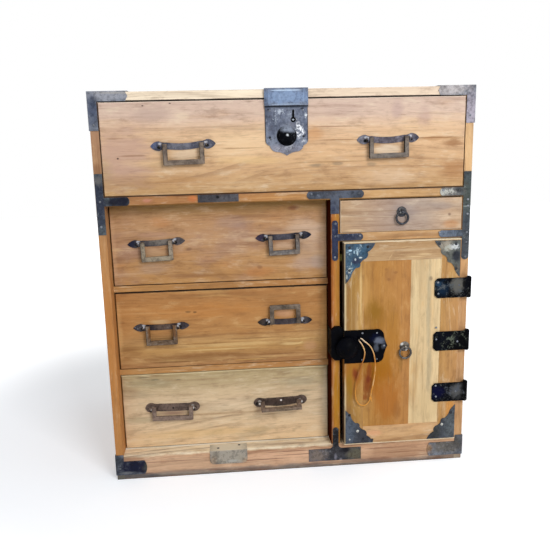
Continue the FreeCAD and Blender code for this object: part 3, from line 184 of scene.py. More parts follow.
WOODS["middle_drawer_wood"] = dict(
    on=("drawer_middle_front",), seed=3.4, fleck=0.3, fibre=0.46, pale="dcb47c",
    ramp=(
        "Z", (199, "a8784a"), (216, "a27444"), (232, "bc9056"), (248, "b68a56"), (262, "b4824c"),
        (300, "b68048"), (338, "ae7a46"),
    ),
    clouds=(
        ("a8703c", 0.5, 6, 20, 0.52), ("dab878", 0.45, 4, 34, 0.57), ("7d5632", 0.45, 5, 36, 0.6),
        ("dcb478", 0.55, 3.4, 64, 0.54, 198, 250), ("5c3818", 0.75, 3.8, 56, 0.54, 198, 250),
    ),
    marks=(
        # The tall pale marks at x 68 and x -302 are painted light along the right and left ends,
        # lifting the shade beside the divider and the side
        (-6, 290, 24, 10, "c89878", 0.55), (68, 268, 9, 70, "d09a5c", 0.55),
        (-302, 268, 8, 66, "dcb074", 0.45), (-158, 301, 110, 15, "c0803f", 0.45),
        (-179, 300, 6, 2.4, "70502c", 0.7), (-167, 299, 4, 1.8, "5f4226", 0.8),
        (-229, 284, 22, 5, "d9b88a", 0.45), (-107, 236, 110, 5, "dcb87e", 0.5),
        (-162, 216, 110, 9, "80552c", 0.5), (-285, 231, 28, 15, "8f6236", 0.55),
        (6, 232, 27, 3.2, "e0c088", 0.5), (-213, 253, 90, 1.8, "7b5a36", 0.6),
        (20, 199, 30, 8, "8a5d34", 0.45), (39, 226, 16, 12, "c09070", 0.4),
        (-60, 246, 70, 1.6, "7f5c34", 0.5), (-130, 228, 90, 1.8, "e6c88a", 0.45),
        (-200, 208, 60, 2, "6a421e", 0.6), (-20, 214, 60, 1.8, "744a22", 0.6),
        (-60, 206, 50, 1.6, "d8a860", 0.5), (-150, 240, 90, 1.6, "7b5224", 0.5),
        (20, 241, 40, 1.6, "dcba7c", 0.4),
    ),
    curls=((8, 236, 17, 5, 0.22, "ecd090", 0.6), (-30, 240, 26, 4, 0.25, "d8b070", 0.4)),
    # Rims: painted shade in the gaps along the left and bottom edges and under the rail along the
    # top
    rims=(("LB", 1.4, "2e1c10", 0.8), ("T", 2.2, "1c100a", 0.95)),
)
WOODS["lower_drawer_wood"] = dict(
    on=("drawer_lower_front",), seed=4.1,
    ramp=(
        "Z", (46, "e6c69c"), (70, "e3c39a"), (104, "dabf9a"), (140, "d6bb96"), (165, "bca57e"),
        (186, "b29c72"),
    ),
    clouds=(
        ("968a70", 0.5, 7, 26, 0.53), ("e2c69a", 0.4, 5, 34, 0.58), ("a58a68", 0.4, 9, 40, 0.6),
    ),
    marks=(
        (-254, 169, 55, 11, "9d906e", 0.5), (20, 159, 48, 12, "a3977c", 0.5),
        (-267, 181, 14, 1.6, "6e664e", 0.6), (-244, 176, 9, 1.6, "6c6650", 0.7),
        (-203, 174, 8, 1.6, "6c6650", 0.6), (-168, 68, 150, 11, "dcb67c", 0.45),
        (-276, 100, 36, 9, "a59878", 0.5), (-121, 104, 112, 2.6, "a17c54", 0.5),
        (-119, 146, 46, 11, "d6bd96", 0.4), (0, 112, 38, 14, "cfa67c", 0.45),
        # The tall pale mark at x 68 is painted light along the right end, lifting the shade beside
        # the divider
        (-110, 122, 60, 18, "e6ccaa", 0.4), (68, 112, 9, 70, "f0dcb8", 0.6),
        (-38, 97, 28, 1.6, "8d6c4a", 0.6), (-200, 122, 60, 1.6, "8d8264", 0.5),
        # The black mark at x -17, z 114.6, and the dark line at x -214.5, z 115, are painted
        # shadow under the handle plates; the brown band at x -214.5, z 110, is partly stain and
        # partly painted shade
        (30, 140, 26, 2.4, "8b8166", 0.5), (-17, 114.6, 34, 4, "140c08", 1),
        (-214.5, 115, 34, 1.8, "4a3626", 0.75), (-214.5, 110, 32, 5, "9c7866", 0.75),
        (-52, 106, 10, 12, "b08c72", 0.4),
    ),
    # Rims: painted shade in the gaps along the left and bottom edges, and a painted highlight
    # along the top arris
    rims=(("L", 1.3, "7c6642", 0.5), ("B", 1.3, "4a3a26", 0.7), ("T", 1.8, "ded0a6", 0.7)),
)
WOODS["small_drawer_wood"] = dict(
    on=("drawer_small_front",), seed=5.2,
    ramp=(
        "X", (90, "bd9c78"), (140, "b4967c"), (190, "ac9688"), (240, "b6a08e"), (275, "c8a88a"),
        (304, "caaa88"),
    ),
    clouds=(("98877c", 0.45, 6, 24, 0.55), ("d9b990", 0.4, 7, 30, 0.58)),
    marks=(
        (203, 468, 27, 20, "9a8c88", 0.5), (265, 478, 28, 10, "a2938a", 0.5),
        (284, 446, 18, 9, "c0844c", 0.5), (159, 472, 64, 1.3, "8f7458", 0.55),
        (159, 447, 72, 1.3, "8c7056", 0.55), (133, 455, 54, 1, "967b60", 0.5),
        (282, 463, 4, 3.6, "6d4e3c", 0.7), (116, 440, 24, 3, "e4c8a0", 0.6),
    ),
    # Rims: painted highlights along the left, right and bottom arrises, and painted shade in the
    # gap along the top
    rims=(("LRB", 1.8, "e6d2b6", 0.7), ("T", 1, "4a3a2a", 0.7)),
)
WOODS["left_side_wood"] = dict(
    on=("side_left",), seed=6.3, grain="Z", pale="d8ae80",
    ramp=(
        "Z", (0, "8c8276"), (8, "93826c"), (12, "b88048"), (200, "b97c40"), (400, "b8824c"),
        (520, "a9805a"), (640, "ad8466"), (677, "b08a6a"),
    ),
    clouds=(("8c6040", 0.5, 9, 30, 0.54), ("d9a868", 0.35, 6, 40, 0.6)),
    marks=((-312, 555, 8, 12, "80583c", 0.6), (-312, 300, 7, 90, "b87434", 0.4)),
    rims=(("B", 12, "55544f", 0.85, -184),),
)
WOODS["right_side_wood"] = dict(
    on=("side_right",), seed=7.1, grain="Z", pale="ecd0a4",
    ramp=(
        "Z", (0, "968a7c"), (8, "a08a70"), (12, "c89c6e"), (300, "c99866"), (520, "dcb07c"),
        (677, "e6be8e"),
    ),
    clouds=(("a87648", 0.45, 9, 34, 0.56), ("f0d2a4", 0.4, 6, 44, 0.6)),
)
WOODS["divider_wood"] = dict(
    on=("divider",), seed=7.7, grain="Z", gloss=0,
    ramp=(
        "X", (72, "a8683a"), (74, "8a5024"), (77, "b4703a"), (81, "c08440"), (86, "b07a34"),
        (88.6, "a06c34"),
    ),
    clouds=(("7a4216", 0.5, 7, 40, 0.54), ("d69a52", 0.4, 8, 50, 0.58)),
    marks=((80, 478, 9, 9, "d08a52", 0.6), (82, 130, 8, 90, "b07c1c", 0.6)),
    # Rims: painted shade on the left face, which stands in the shade of the recess, and in the gap
    # to the door along the right edge
    rims=(("L", 1.5, "40180a", 1, -156), ("R", 0.8, "3a2410", 0.9, -190)),
)
WOODS["stop_wood"] = dict(
    on=("door_stop",), seed=7.9, grain="Z", ramp=("X", (88, "8c8420"), (110, "80702c")),
)
WOODS["top_board_wood"] = dict(
    on=("top_board",), seed=8.1,
    ramp=("X", (-319, "f9e6ca"), (-60, "fceacf"), (60, "ecd5bb"), (319, "e9d2b9")),
    clouds=(("c79c64", 0.45, 6, 40, 0.57), ("f8ead0", 0.4, 6, 40, 0.6)),
    # Rim: painted shade in the gap along the bottom edge, over the top drawer
    rims=(("B", 1.5, "24170e", 0.95),),
)
WOODS["shelf_wood"] = dict(
    on=("mid_shelf",), seed=9.4,
    ramp=(
        "X", (-309, "ae7c50"), (-120, "b07a48"), (60, "b88650"), (150, "cba06c"), (309, "c9a070"),
    ),
    clouds=(("8d5f38", 0.45, 6, 60, 0.55), ("d6a874", 0.4, 6, 60, 0.6)),
    marks=(
        (-139, 503, 11, 4, "c07c40", 0.6), (-235, 502, 10, 5, "cf8a78", 0.5),
        (-160, 503, 9, 6, "d2733c", 0.6), (-20, 501, 60, 1.3, "dca86a", 0.5),
    ),
    # Rims: painted shade along the top edge, in the gap under the top drawer, and along the bottom
    # edge, over the recessed drawers
    rims=(("T", 1.8, "3a1c12", 0.85), ("B", 2.4, "6e4a16", 0.8)),
)
WOODS["rail_wood"] = dict(
    on=("column_rails", "small_shelf"), seed=9.9,
    ramp=("X", (-309, "b98850"), (76, "b07c48"), (90, "c69c6c"), (309, "c89c6c")),
    clouds=(("8d5f38", 0.4, 6, 60, 0.56), ("dcb27c", 0.4, 6, 60, 0.6)),
)
WOODS["base_wood"] = dict(
    on=("base_rail",), seed=10.2, figure=0.6, lines=40, fibre=0.55, dark="6b3f2a", pale="f0d4b4",
    # The ramp's pale last stops at z 43 and 45 are a painted highlight on the rail's rounded top
    # edge
    ramp=(
        "Z", (0, "625b54"), (4, "7c736a"), (8, "9c8878"), (12, "cca484"), (26, "d8ae8c"),
        (40, "cb9f7c"), (43, "e0cba8"), (45, "f2e2c4"),
    ),
    clouds=(("8a6450", 0.5, 5, 60, 0.54), ("e0b890", 0.45, 6, 80, 0.58)),
    marks=(
        (-280, 5, 60, 7, "46464a", 0.8), (-200, 8, 60, 6, "847a70", 0.6),
        (-205, 24, 110, 18, "d8b492", 0.6), (0, 26, 100, 16, "e0b696", 0.4),
        (200, 22, 80, 22, "ac8464", 0.7), (164, 9, 30, 6, "7c5440", 0.5),
        (-60, 22, 90, 1.2, "6f4632", 0.7), (-230, 30, 70, 1.2, "7a503a", 0.6),
        (0, 35, 60, 1.1, "6f4632", 0.7), (10, 28, 60, 1.1, "7a4e38", 0.7),
        (180, 30, 60, 1.2, "7a503a", 0.6), (215, 20, 60, 1.2, "74492f", 0.6),
    ),
)
WOODS["ledge_wood"] = dict(
    on=("floor_boards",), seed=11.6, fibre=0.25, fleck=0.15,
    # The nearly white ramp is partly the wood's pale tone and partly painted light on the ledge's
    # top, which faces up to the light
    ramp=("X", (-309, "fffaea"), (60, "fff8e6"), (309, "e4d0ac")),
    clouds=(("c4b498", 0.25, 7, 40, 0.58), ("fff8e4", 0.4, 7, 40, 0.6)),
    marks=((-10, 45, 60, 9, "9c9074", 0.3), (-250, 45, 40, 4, "d8c8a0", 0.4)),
)
WOODS["inner_wood"] = dict(
    on=(
        "back_boards", "drawer_runners", "drawer_top_box", "drawer_upper_box", "drawer_middle_box",
        "drawer_lower_box", "drawer_small_box",
    ),
    seed=11, boxed=True, ramp=("Z", (0, "c4a070"), (300, "c9a878"), (677, "c6a474")),
    clouds=(("96744a", 0.4, 4, 22, 0.56), ("dcc49a", 0.4, 5, 30, 0.6)),
)
WOODS["door_stile_wood"] = dict(
    on=("door_stiles",), seed=12.6, grain="Z",
    # The ramp's dark first stops are painted shade on the door's left face in the gap; its pale
    # stops from x 95.6 to 97 are partly wear and partly a painted highlight on the left arris
    ramp=(
        "X", (94.5, "241a12"), (95, "3a2c1e"), (95.6, "e2d0a8"), (97, "d8bf90"), (99, "9c7440"),
        (108, "a47a3a"), (123, "b98c4a"), (129, "ba8c50"), (274, "be8f54"), (302, "c08e58"),
    ),
    clouds=(("7c5630", 0.5, 9, 30, 0.54), ("dcb578", 0.45, 8, 50, 0.57)),
    marks=(
        # The thin pale mark at x 124 is a painted highlight along the groove beside the panel
        (124, 330, 3, 60, "e6c488", 0.6), (112, 190, 30, 64, "a4681a", 0.95),
        (115, 182, 7, 16, "7c3008", 0.85), (104, 160, 8, 40, "8c7010", 0.5),
        (112, 290, 6, 40, "8c6a44", 0.35), (291, 106, 10, 20, "dc9440", 0.55),
        (288, 352, 12, 20, "c09a58", 0.4),
    ),
    # Rims: partly wear and partly painted highlights along the top and bottom arrises
    rims=(("TB", 1.7, "efe0c0", 0.85),),
)
WOODS["door_rail_wood"] = dict(
    on=("door_rails",), seed=13.3,
    ramp=(
        "Z", (46, "c09464"), (70, "d4aa7a"), (80, "d0a474"), (387, "bd9a70"), (405, "b8946a"),
        (421, "ab855a"),
    ),
    clouds=(("8f6440", 0.45, 6, 30, 0.55), ("e0c090", 0.4, 7, 40, 0.58)),
    marks=(
        (220, 392, 20, 1.4, "e8cc9c", 0.6), (236, 396, 14, 1.3, "e6c898", 0.6),
        (205, 399, 26, 1.4, "8a6444", 0.5), (188, 394, 20, 1.2, "8e6846", 0.5),
        (265, 412, 9, 6, "e2bc8a", 0.6), (190, 62, 26, 6, "dcb282", 0.45),
        (150, 66, 20, 8, "e0a078", 0.5), (240, 70, 26, 6, "dcb080", 0.4),
    ),
    # The pale rims along the top and bottom are partly wear and partly painted highlights on the
    # arrises
    curls=((206, 380, 34, 30, 0.03, "e6c692", 0.4),), rims=(("TB", 1.7, "efe0c0", 0.85),),
)
WOODS["door_panel_wood"] = dict(
    on=("door_panel",), seed=14.8, grain="Z", pale="dcae70", fleck=0.2,
    ramp=(
        "X", (123, "b98c4c"), (150, "b88340"), (213.3, "b57e44"), (213.7, "e0c494"),
        (240, "dcc092"), (268, "e8cc9c"), (274, "e2c492"),
    ),
    clouds=(("9a6228", 0.5, 6, 16, 0.53), ("cf9c58", 0.45, 7, 24, 0.56)),
    marks=(
        (154, 286, 32, 40, "94641a", 0.8), (148, 296, 18, 24, "8f6414", 0.7),
        (178, 360, 15, 15, "96643a", 0.4), (186, 365, 5, 3.6, "7c4c2c", 0.4),
        (174, 353, 4.5, 3, "7c4c2c", 0.35), (169, 371, 3.6, 2.8, "855434", 0.35),
        (182, 262, 13, 62, "986818", 0.45), (198, 204, 6, 26, "7a5618", 0.5),
        (166, 92, 34, 24, "9c6a2c", 0.4), (132, 330, 6, 40, "c89858", 0.4),
        (158, 200, 40, 70, "a06404", 1), (172, 130, 34, 56, "a8641a", 0.75),
        (140, 186, 7, 20, "803c04", 0.8), (137, 160, 10, 30, "7c3804", 0.85),
        (130, 136, 14, 8, "84400c", 0.8), (139, 170, 5, 9, "6c2406", 0.7),
        (110, 150, 14, 40, "a86c28", 0.6), (192, 106, 10, 22, "8f5a28", 0.45),
        (247, 300, 6, 100, "b0a284", 0.65), (250, 180, 7, 60, "a89a7c", 0.6),
        (249, 352, 4, 6, "86745c", 0.7), (221, 300, 8, 90, "e4cc9e", 0.45),
        (176, 250, 30, 60, "b87e34", 0.4), (245, 110, 30, 44, "d4b888", 0.5),
    ),
)

# Eyes of the split pins: middle of the plate, tilt in degrees, half the eyes' distance
HANDLES = (
    (-171, 591.5, 1.4, 35.75), (171, 593.9, 1, 35.75),
    (-227, 426.7, 2.2, 29.5), (-6, 429.7, 2, 29.5),
    (-227, 275.4, 0.5, 29.5), (-6, 275.4, 0.3, 29.5),
)


def eye_light_marks():
    """Painted highlights on top of the eyes of the handles and painted shadows just outside and
    below them.
    """
    highlights, shadows = [], []
    for x, z, tilt, half in HANDLES:
        for sign in (-1, 1):
            place = x + sign * half
            rise = z + sign * half * math.tan(math.radians(tilt))
            highlights.append((place + sign * 1.6, rise + 3.4, 4, 2.6, "c2c4cc", 0.85))
            shadows.append((place + sign * 3.4, rise - 2.2, 3.6, 3, "020203", 1))
    return tuple(highlights), tuple(shadows)


EYE_HIGHLIGHTS, EYE_SHADOWS = eye_light_marks()

# Iron. Base and second are its two tones and specks the bare scuffs. Zones change the base
# tone, marks lie over the rust and dots have crisp edges. All are x, z, half width, half
# height, tone and share, and splashes, which are broken flakes, have how much they cover
# instead of a share. Left shade is painted shade that darkens faces that look left.
IRON_SHADE, IRON_PITS, IRON_LEFT_SHADE = "050507", "030304", "040405"
FLAKE_CONTRAST = 9.0
FLAKE_LEVEL = 0.62
FLAKE_STEP = 0.12
FLAKE_SHARE = 0.9
IRONS = {}
IRONS["iron_corners"] = dict(
    on=("corner_irons",), seed=1, base="5c616c", second="7c818c", specks="b4b8c0", speck=0.4,
    zones=(
        (-285, 672, 45, 12, "9b9da6", 0.9), (-312, 650, 12, 30, "434c62", 0.9),
        (270, 672, 56, 14, "b4aeae", 1), (312, 636, 16, 44, "a39ca8", 1),
        (-280, 24, 60, 24, "060c28", 1), (-318, 36, 12, 24, "2e343c", 0.9),
        (290, 30, 45, 24, "65605a", 0.95), (252, 24, 14, 14, "9a7a5c", 1),
    ),
    marks=(
        (-262, 22, 12, 12, "56584e", 0.6), (-300, 13, 16, 3, "8c8e90", 0.4),
        (-275, 676, 40, 2, "a9a49c", 0.5),
    ),
)
IRONS["iron_sides"] = dict(
    on=("side_irons",), seed=2.2, base="3c434c", second="565e62", specks="a8aca8", speck=0.35,
    zones=(
        (-312, 500, 14, 60, "262c3e", 0.9), (-280, 502, 30, 12, "04061c", 1),
        (312, 500, 14, 50, "434a46", 0.9), (312, 410, 14, 40, "3e4248", 0.8),
        (276, 502, 34, 12, "74706c", 0.95), (276, 429, 34, 12, "6c788a", 0.95),
    ),
    marks=(
        (-263, 502, 2, 8, "7c8690", 0.6), (296, 504, 8, 5, "0c0c0e", 0.8),
        (-312, 536, 9, 9, "6f6c68", 0.6), (312, 476, 8, 1.5, "a8b0a8", 0.7),
    ),
    splashes=((272, 503, 30, 10, "b8b8b0", 0.6),),
)
IRONS["iron_divider"] = dict(
    on=("divider_irons",), seed=3.1, base="3a3f49", second="535966", specks="9aa2ac", speck=0.3,
    zones=(
        (80, 430, 14, 70, "1f2744", 0.9), (108, 430, 30, 10, "1f2740", 0.9),
        (80, 30, 60, 30, "3c3a3e", 0.9), (44, 22, 26, 18, "7c7068", 1),
        (118, 22, 22, 18, "5e5a4c", 1), (80, 60, 10, 28, "08080e", 1),
        (97, 32, 12, 8, "0a0812", 1),
    ),
    marks=((80, 18, 4, 8, "8c8a98", 0.6), (90, 12, 4, 6, "a6a0a8", 0.5)),
)
IRONS["iron_straps"] = dict(
    on=("strap_irons",), seed=4.4, base="424044", second="565458", specks="8e9096", speck=0.25,
    zones=(
        (-115, 34, 70, 44, "a59d90", 1), (-146, 20, 10, 20, "a48c74", 0.7),
        (-86, 18, 9, 14, "b09478", 0.7),
    ),
    marks=(
        (-118, 504.6, 3.2, 2.8, "020203", 1), (-110, 24, 14, 3, "b4b4ae", 0.6),
        (-140, 38, 8, 8, "6c6458", 0.5), (-96, 30, 8, 8, "a09888", 0.5),
    ),
    # The pale dot line is painted light on the fold that lies face up on the ledge
    dots=((-117, 46.2, 70, 1.7, "e4dcc8", 0.85),),
)
IRONS["iron_plates"] = dict(
    on=("drawer_top_handle_irons",), seed=5.5, base="454655", second="6a6a74", specks="a4a6b0",
    # The last setting on the next line is painted shade on faces that look left.
    speck=0.45, rust=0.35, rust_tone="54402f", left_shade=0.5,
    zones=((-222, 594, 14, 12, "4a5678", 0.8), (171, 592, 60, 14, "686068", 0.8)),
    # These marks and dots are painted highlights and shadows at the eyes.
    marks=EYE_HIGHLIGHTS, dots=EYE_SHADOWS,
)
IRONS["iron_column_plates"] = dict(
    on=("drawer_upper_handle_irons", "drawer_middle_handle_irons"), seed=5.9, base="2c2a34",
    # The last setting on the next line is painted shade on faces that look left.
    second="504a4c", specks="9c9a9c", speck=0.4, rust=0.4, rust_tone="40302a", left_shade=0.5,
    zones=(
        (-272, 428, 18, 14, "0c0f26", 1), (-222, 430, 26, 14, "766e66", 0.95),
        (44, 432, 16, 14, "0e1228", 1), (-52, 428, 18, 14, "342840", 0.9),
        (-6, 430, 22, 12, "4e4c56", 0.9), (-227, 276, 60, 18, "2c2020", 0.9),
        (-222, 275, 22, 12, "5c4a40", 0.9), (-52, 275, 18, 12, "3c3028", 0.9),
        (-6, 276, 22, 12, "3c3234", 0.9), (42, 276, 14, 12, "100a10", 1),
        (-38, 272, 10, 6, "0a080c", 0.9),
    ),
    # These marks and dots are painted highlights and shadows at the eyes.
    marks=EYE_HIGHLIGHTS, dots=EYE_SHADOWS,
)
IRONS["iron_carry"] = dict(
    on=("carry_handle_irons", "carry_bail_left", "carry_bail_right"), seed=6.1, base="504c4a",
    second="706a64", specks="aaa69e", speck=0.45, rust=0.4, rust_tone="54402f",
)
IRONS["iron_bails"] = dict(
    on=(
        "drawer_top_bail_left", "drawer_top_bail_right", "drawer_upper_bail_left",
        "drawer_upper_bail_right", "drawer_middle_bail_left", "drawer_middle_bail_right",
    ),
    seed=6.6, base="66594f", second="857668", specks="b0a698", speck=0.4, rust=0.3,
    # The last setting on the next line is painted shade on faces that look left.
    rust_tone="5c4634", left_shade=0.97,
    zones=(
        (-227, 262, 44, 24, "5c4228", 0.9), (-6, 290, 44, 24, "54483a", 0.8),
        (-227, 410, 44, 26, "9c907a", 0.9), (171, 578, 50, 24, "666462", 0.7),
        (-6, 412, 40, 24, "6a6868", 0.8),
    ),
    marks=(
        (-247, 268, 5, 14, "6a4216", 0.85), (-204, 268, 5, 14, "6a4216", 0.7),
        (-226, 254, 20, 4, "766c60", 0.6),
    ),
    dots=((8.6, 284, 2, 11, "0a0a08", 0.8),),
)
IRONS["iron_rings"] = dict(
    on=("door_rose", "door_ring", "drawer_small_rose", "drawer_small_ring"), seed=7.7,
    base="3c3a3a", second="6e6a66", specks="d8d4cc", speck=0.6, rust=0.3, rust_tone="3c2a20",
    metal=0.3, roughness=0.34, shine=0.5,
    zones=(
        # The pale zone at z 236 is painted light on the top of the door's rose
        (197, 460, 22, 26, "0c1222", 1), (204, 236, 14, 10, "8c8478", 0.9),
        (204, 218, 20, 14, "443c36", 1),
    ),
    # The two pale dots are painted highlights on the door's rose and ring, and the dark dot
    # painted shade inside the ring
    dots=(
        (199, 234, 3, 3, "d8d8d4", 0.8), (208, 221, 3.2, 5, "cfccc6", 0.7),
        (199, 219, 1.6, 9, "161414", 0.8),
    ),
)
IRONS["iron_lock_plate"] = dict(
    on=("drawer_top_lock_plate",), seed=8.8, base="60677a", second="7c8392", specks="b4bac2",
    speck=0.4,
    zones=((0, 665, 80, 16, "768aaa", 1), (0, 580, 34, 14, "8c8a96", 0.8)),
    # The mark is a painted highlight on the cap
    marks=((0, 665, 32, 11, "8599b6", 0.5),),
    splashes=(
        (23, 612, 9, 14, "f4f6fa", 0.75), (33, 632, 4, 6, "e8ecf0", 0.6),
        (-4, 640, 14, 7, "b4bcc8", 0.55), (-20, 628, 12, 10, "98a0ac", 0.35),
        (0, 585, 34, 14, "a2a4ac", 0.25),
    ),
    dots=(
        # The first four dots are painted highlights on the cap's top, side and lower bevels, the
        # next two painted shade along the plate's side edges; the dark line at z 649.8 is a
        # painted shadow under the cap
        (0, 675, 30, 1.4, "b8cce2", 0.8), (-29, 664, 1.2, 14, "8ea2c0", 0.4),
        (28.4, 664, 1.2, 14, "8ea2c0", 0.4), (0, 652.8, 30, 1, "9cb0c8", 0.6),
        (-35.4, 610, 1.3, 46, "10131c", 0.8), (35.4, 610, 1.3, 46, "10131c", 0.8),
        (KEYHOLE[0], 641.4, 2.2, 4.4, "010102", 1), (KEYHOLE[0], 636, 2.4, 6, "010102", 1),
        (0, 649.8, 90, 1.4, "06080e", 0.9), (*KEYHOLE, 5.2, 5.2, "010102", 1),
        (*KEYHOLE, 1.9, 1.9, "b4bcc8", 0.95), (-28, 600, 2.4, 2.4, "0a0a0e", 0.9),
        (28, 601, 2.4, 2.4, "0a0a0e", 0.9), (-30, 645, 2.6, 1.8, "101420", 0.8),
        (26, 646, 3, 1.6, "101420", 0.8),
    ),
)
IRONS["iron_black"] = dict(
    on=("door_lock_keeper", "door_lock_plate", "door_lock_boss"), seed=9.9, base="010102",
    second="03040a", specks="3c4250", speck=0.12, rust=0, metal=0, roughness=0.42, shine=0.03,
    # The navy zone is a painted sheen and the grey marks painted highlights on the lock's boss
    zones=((150, 248, 14, 12, "060c26", 0.8),),
    marks=(
        (158, 243, 13, 8, "6a7080", 0.85), (152, 231, 6, 9, "565c68", 0.7),
        (165, 232, 6, 6, "4c525e", 0.6),
    ),
)
IRONS["iron_hinges"] = dict(
    on=("hinge_case_leaves", "hinge_door_leaves", "hinge_pins"), seed=10.8, base="020203",
    second="070912", specks="8c908a", speck=0.5, rust=0, metal=0, roughness=0.45, shine=0.025,
    marks=(
        (296, 338, 15, 18, "6c6a64", 0.8), (270, 334, 14, 18, "16283c", 0.85),
        (275, 344, 6, 5, "06090c", 0.9), (262, 342, 6, 6, "34506a", 0.5),
        (301, 140, 15, 17, "5c5c5c", 0.8), (268, 140, 16, 16, "0b0c2c", 0.9),
    ),
    splashes=(
        (280, 338, 44, 24, "565b5e", 0.1), (296, 141, 40, 22, "50545c", 0.1),
        (286, 238, 44, 26, "646a5c", 0.1),
    ),
    # The dot is painted shade in the slit beside the knuckle
    dots=((308.5, 340, 3.4, 7, "0a0a0c", 0.85),),
)
IRONS["iron_boss"] = dict(
    on=("drawer_top_lock_boss",), seed=11.9, base="020204", second="06070c", specks="8c939c",
    speck=0.2, rust=0, metal=0, roughness=0.5, shine=0.03,
    # The pale zone is painted light on the dome's top and the mark a painted highlight on it
    zones=((2, 616, 18, 10, "8c94a4", 1),), marks=((-0.5, 603.8, 2.8, 2.8, "d8dce0", 0.9),),
)
IRONS["iron_door_corners"] = dict(
    on=("door_corner_irons",), seed=12.7, base="353940", second="4c515a", specks="8a9098",
    speck=0.3,
    zones=(
        (118, 392, 40, 46, "3a5a72", 0.9), (116, 388, 10, 8, "2a2844", 0.8),
        (280, 390, 40, 46, "64665f", 0.9), (274, 410, 16, 11, "a09686", 0.8),
        (294, 391, 10, 14, "262a32", 1), (293, 368, 6, 8, "746a5c", 0.7),
        (104, 76, 14, 40, "525c6a", 0.9), (130, 66, 20, 26, "34363e", 0.8),
        (292, 72, 16, 40, "545a5e", 0.9), (266, 64, 16, 22, "3a3c3c", 0.8),
    ),
    splashes=(
        (114, 404, 18, 12, "b8d0dc", 0.3), (103, 370, 8, 17, "b4c4c4", 0.35),
        (288, 406, 10, 7, "ccd0d2", 0.4), (272, 403, 14, 9, "a8a89c", 0.4),
    ),
    dots=(
        (105, 407, 3.6, 2, "b8d8ec", 0.8), (112, 404, 1.6, 3.6, "a8c4d4", 0.7),
        (118, 401, 1.3, 4.2, "c4d8e0", 0.65), (123, 394, 3.4, 1.6, "d0dcdc", 0.8),
        (114, 391, 1.8, 2.6, "c0ccd0", 0.7), (103, 371, 1.7, 5.4, "b4b8b4", 0.7),
        (99, 361, 1.4, 5, "c8ccc0", 0.6), (107, 384, 1.2, 3.4, "a0b4b8", 0.6),
    ),
)
IRONS["iron_rusty_bails"] = dict(
    on=("drawer_lower_bail_left", "drawer_lower_bail_right"), seed=13.9, base="705e54",
    second="8a7669", specks="b8a89c", speck=0.4, rust=0.4, rust_tone="5c4032",
    zones=((-17, 110, 50, 20, "786850", 0.6),),
)
IRONS["iron_rusty"] = dict(
    on=("drawer_lower_handle_irons",), seed=13.6, base="54443c", second="6e5c52", specks="a8998c",
    speck=0.3, rust=0.6, rust_tone="4e3326", zones=((-18, 120, 60, 14, "33261f", 0.8),),
    # The marks are painted highlights on top of the eyes, and the first four dots painted shadows
    # beside them
    marks=tuple(
        (x, z, 4, 3.2, "c8c2bc", 0.9)
        for x, z in ((-251, 122.4), (-179, 123), (-56, 123), (20, 123.4))
    ),
    dots=(
        (-255.4, 118.6, 3.2, 3.6, "080605", 1), (-174.6, 119.4, 3, 3.4, "080605", 1),
        (-60.6, 119.4, 3.4, 3.8, "080605", 1), (24.4, 120, 3, 3.4, "080605", 1),
        (-214.5, 120.5, 2.2, 2.2, "0c0806", 0.95), (-16.5, 124, 2.2, 2.2, "e0d8d4", 0.95),
    ),
)

NAIL_SIDES, NAIL_RINGS = 14, 4

# Nails: body, face y, material, radius, height and places, in mm; heads that look up
# have their face z and their places in x and y instead
NAILS = {
    "nails_case": ("case", -191.5, "iron_nails", 2, 0.9, (
        (-312.4, 625.8), (312.1, 629.5), (-311.7, 502.3), (-312.8, 460.8), (81.8, 503.8),
        (40.2, 505.1), (122, 504), (81.1, 453.3), (81, 431.1), (124, 430.8),
        (80.2, 394.4), (313.4, 487.7), (313.9, 476.6), (313.8, 462.8), (313.8, 430.3),
        (313.2, 412.7), (312.7, 387.2), (264.9, 431.6), (269.7, 504.3), (-313, 22.1),
    )),
    "nails_door": ("door", -201.2, "nails_bright", 2.8, 1.2, ((119.1, 72.1), (276.4, 75.6))),
    "nails_door_small": ("door", -201.2, "nails_bright", 1.8, 0.8, ((104.4, 56.3),)),
    "nails_door_dark": ("door", -201.2, "nails_dark", 2.6, 1, (
        (129.7, 56), (104, 104), (146, 53), (104, 412), (136, 412.5),
        (104, 372), (292, 412), (262, 413), (293, 368), (293, 98),
    )),
    "nails_hinges": ("door", -201.6, "iron_nails", 1.9, 0.8, (
        (261.5, 344.4), (262.5, 324), (260.5, 262), (261, 240), (262.5, 152),
        (263.5, 131), (300, 338), (300, 234.5), (300, 139),
    )),
    "nails_top_lock": ("drawer_top", -192.6, "iron_nails", 1.7, 0.7, (
        (-26.5, 597.2), (26.5, 597), (-27.5, 643), (27.5, 643.4), (0, 577),
    )),
    "nails_ledge": ("case", 45, "nails_dark", 2.6, 0.25, (
        (-135.9, -180), (-97.2, -172),
    ), "up"),
    "nails_door_lock": ("door", -201.6, "iron_nails", 1.8, 0.8, (
        (127, 258), (153.1, 257.5), (127, 208.6), (153, 209), (166, 233.5),
    )),
}


# Material trees


def colour(code):
    """Linear colour of an sRGB code such as "c08040"."""
    levels = [int(code[i:i + 2], 16) / 255 for i in (0, 2, 4)]
    linear = [c / 12.92 if c <= 0.04045 else ((c + 0.055) / 1.055) ** 2.4 for c in levels]
    return (*linear, 1.0)


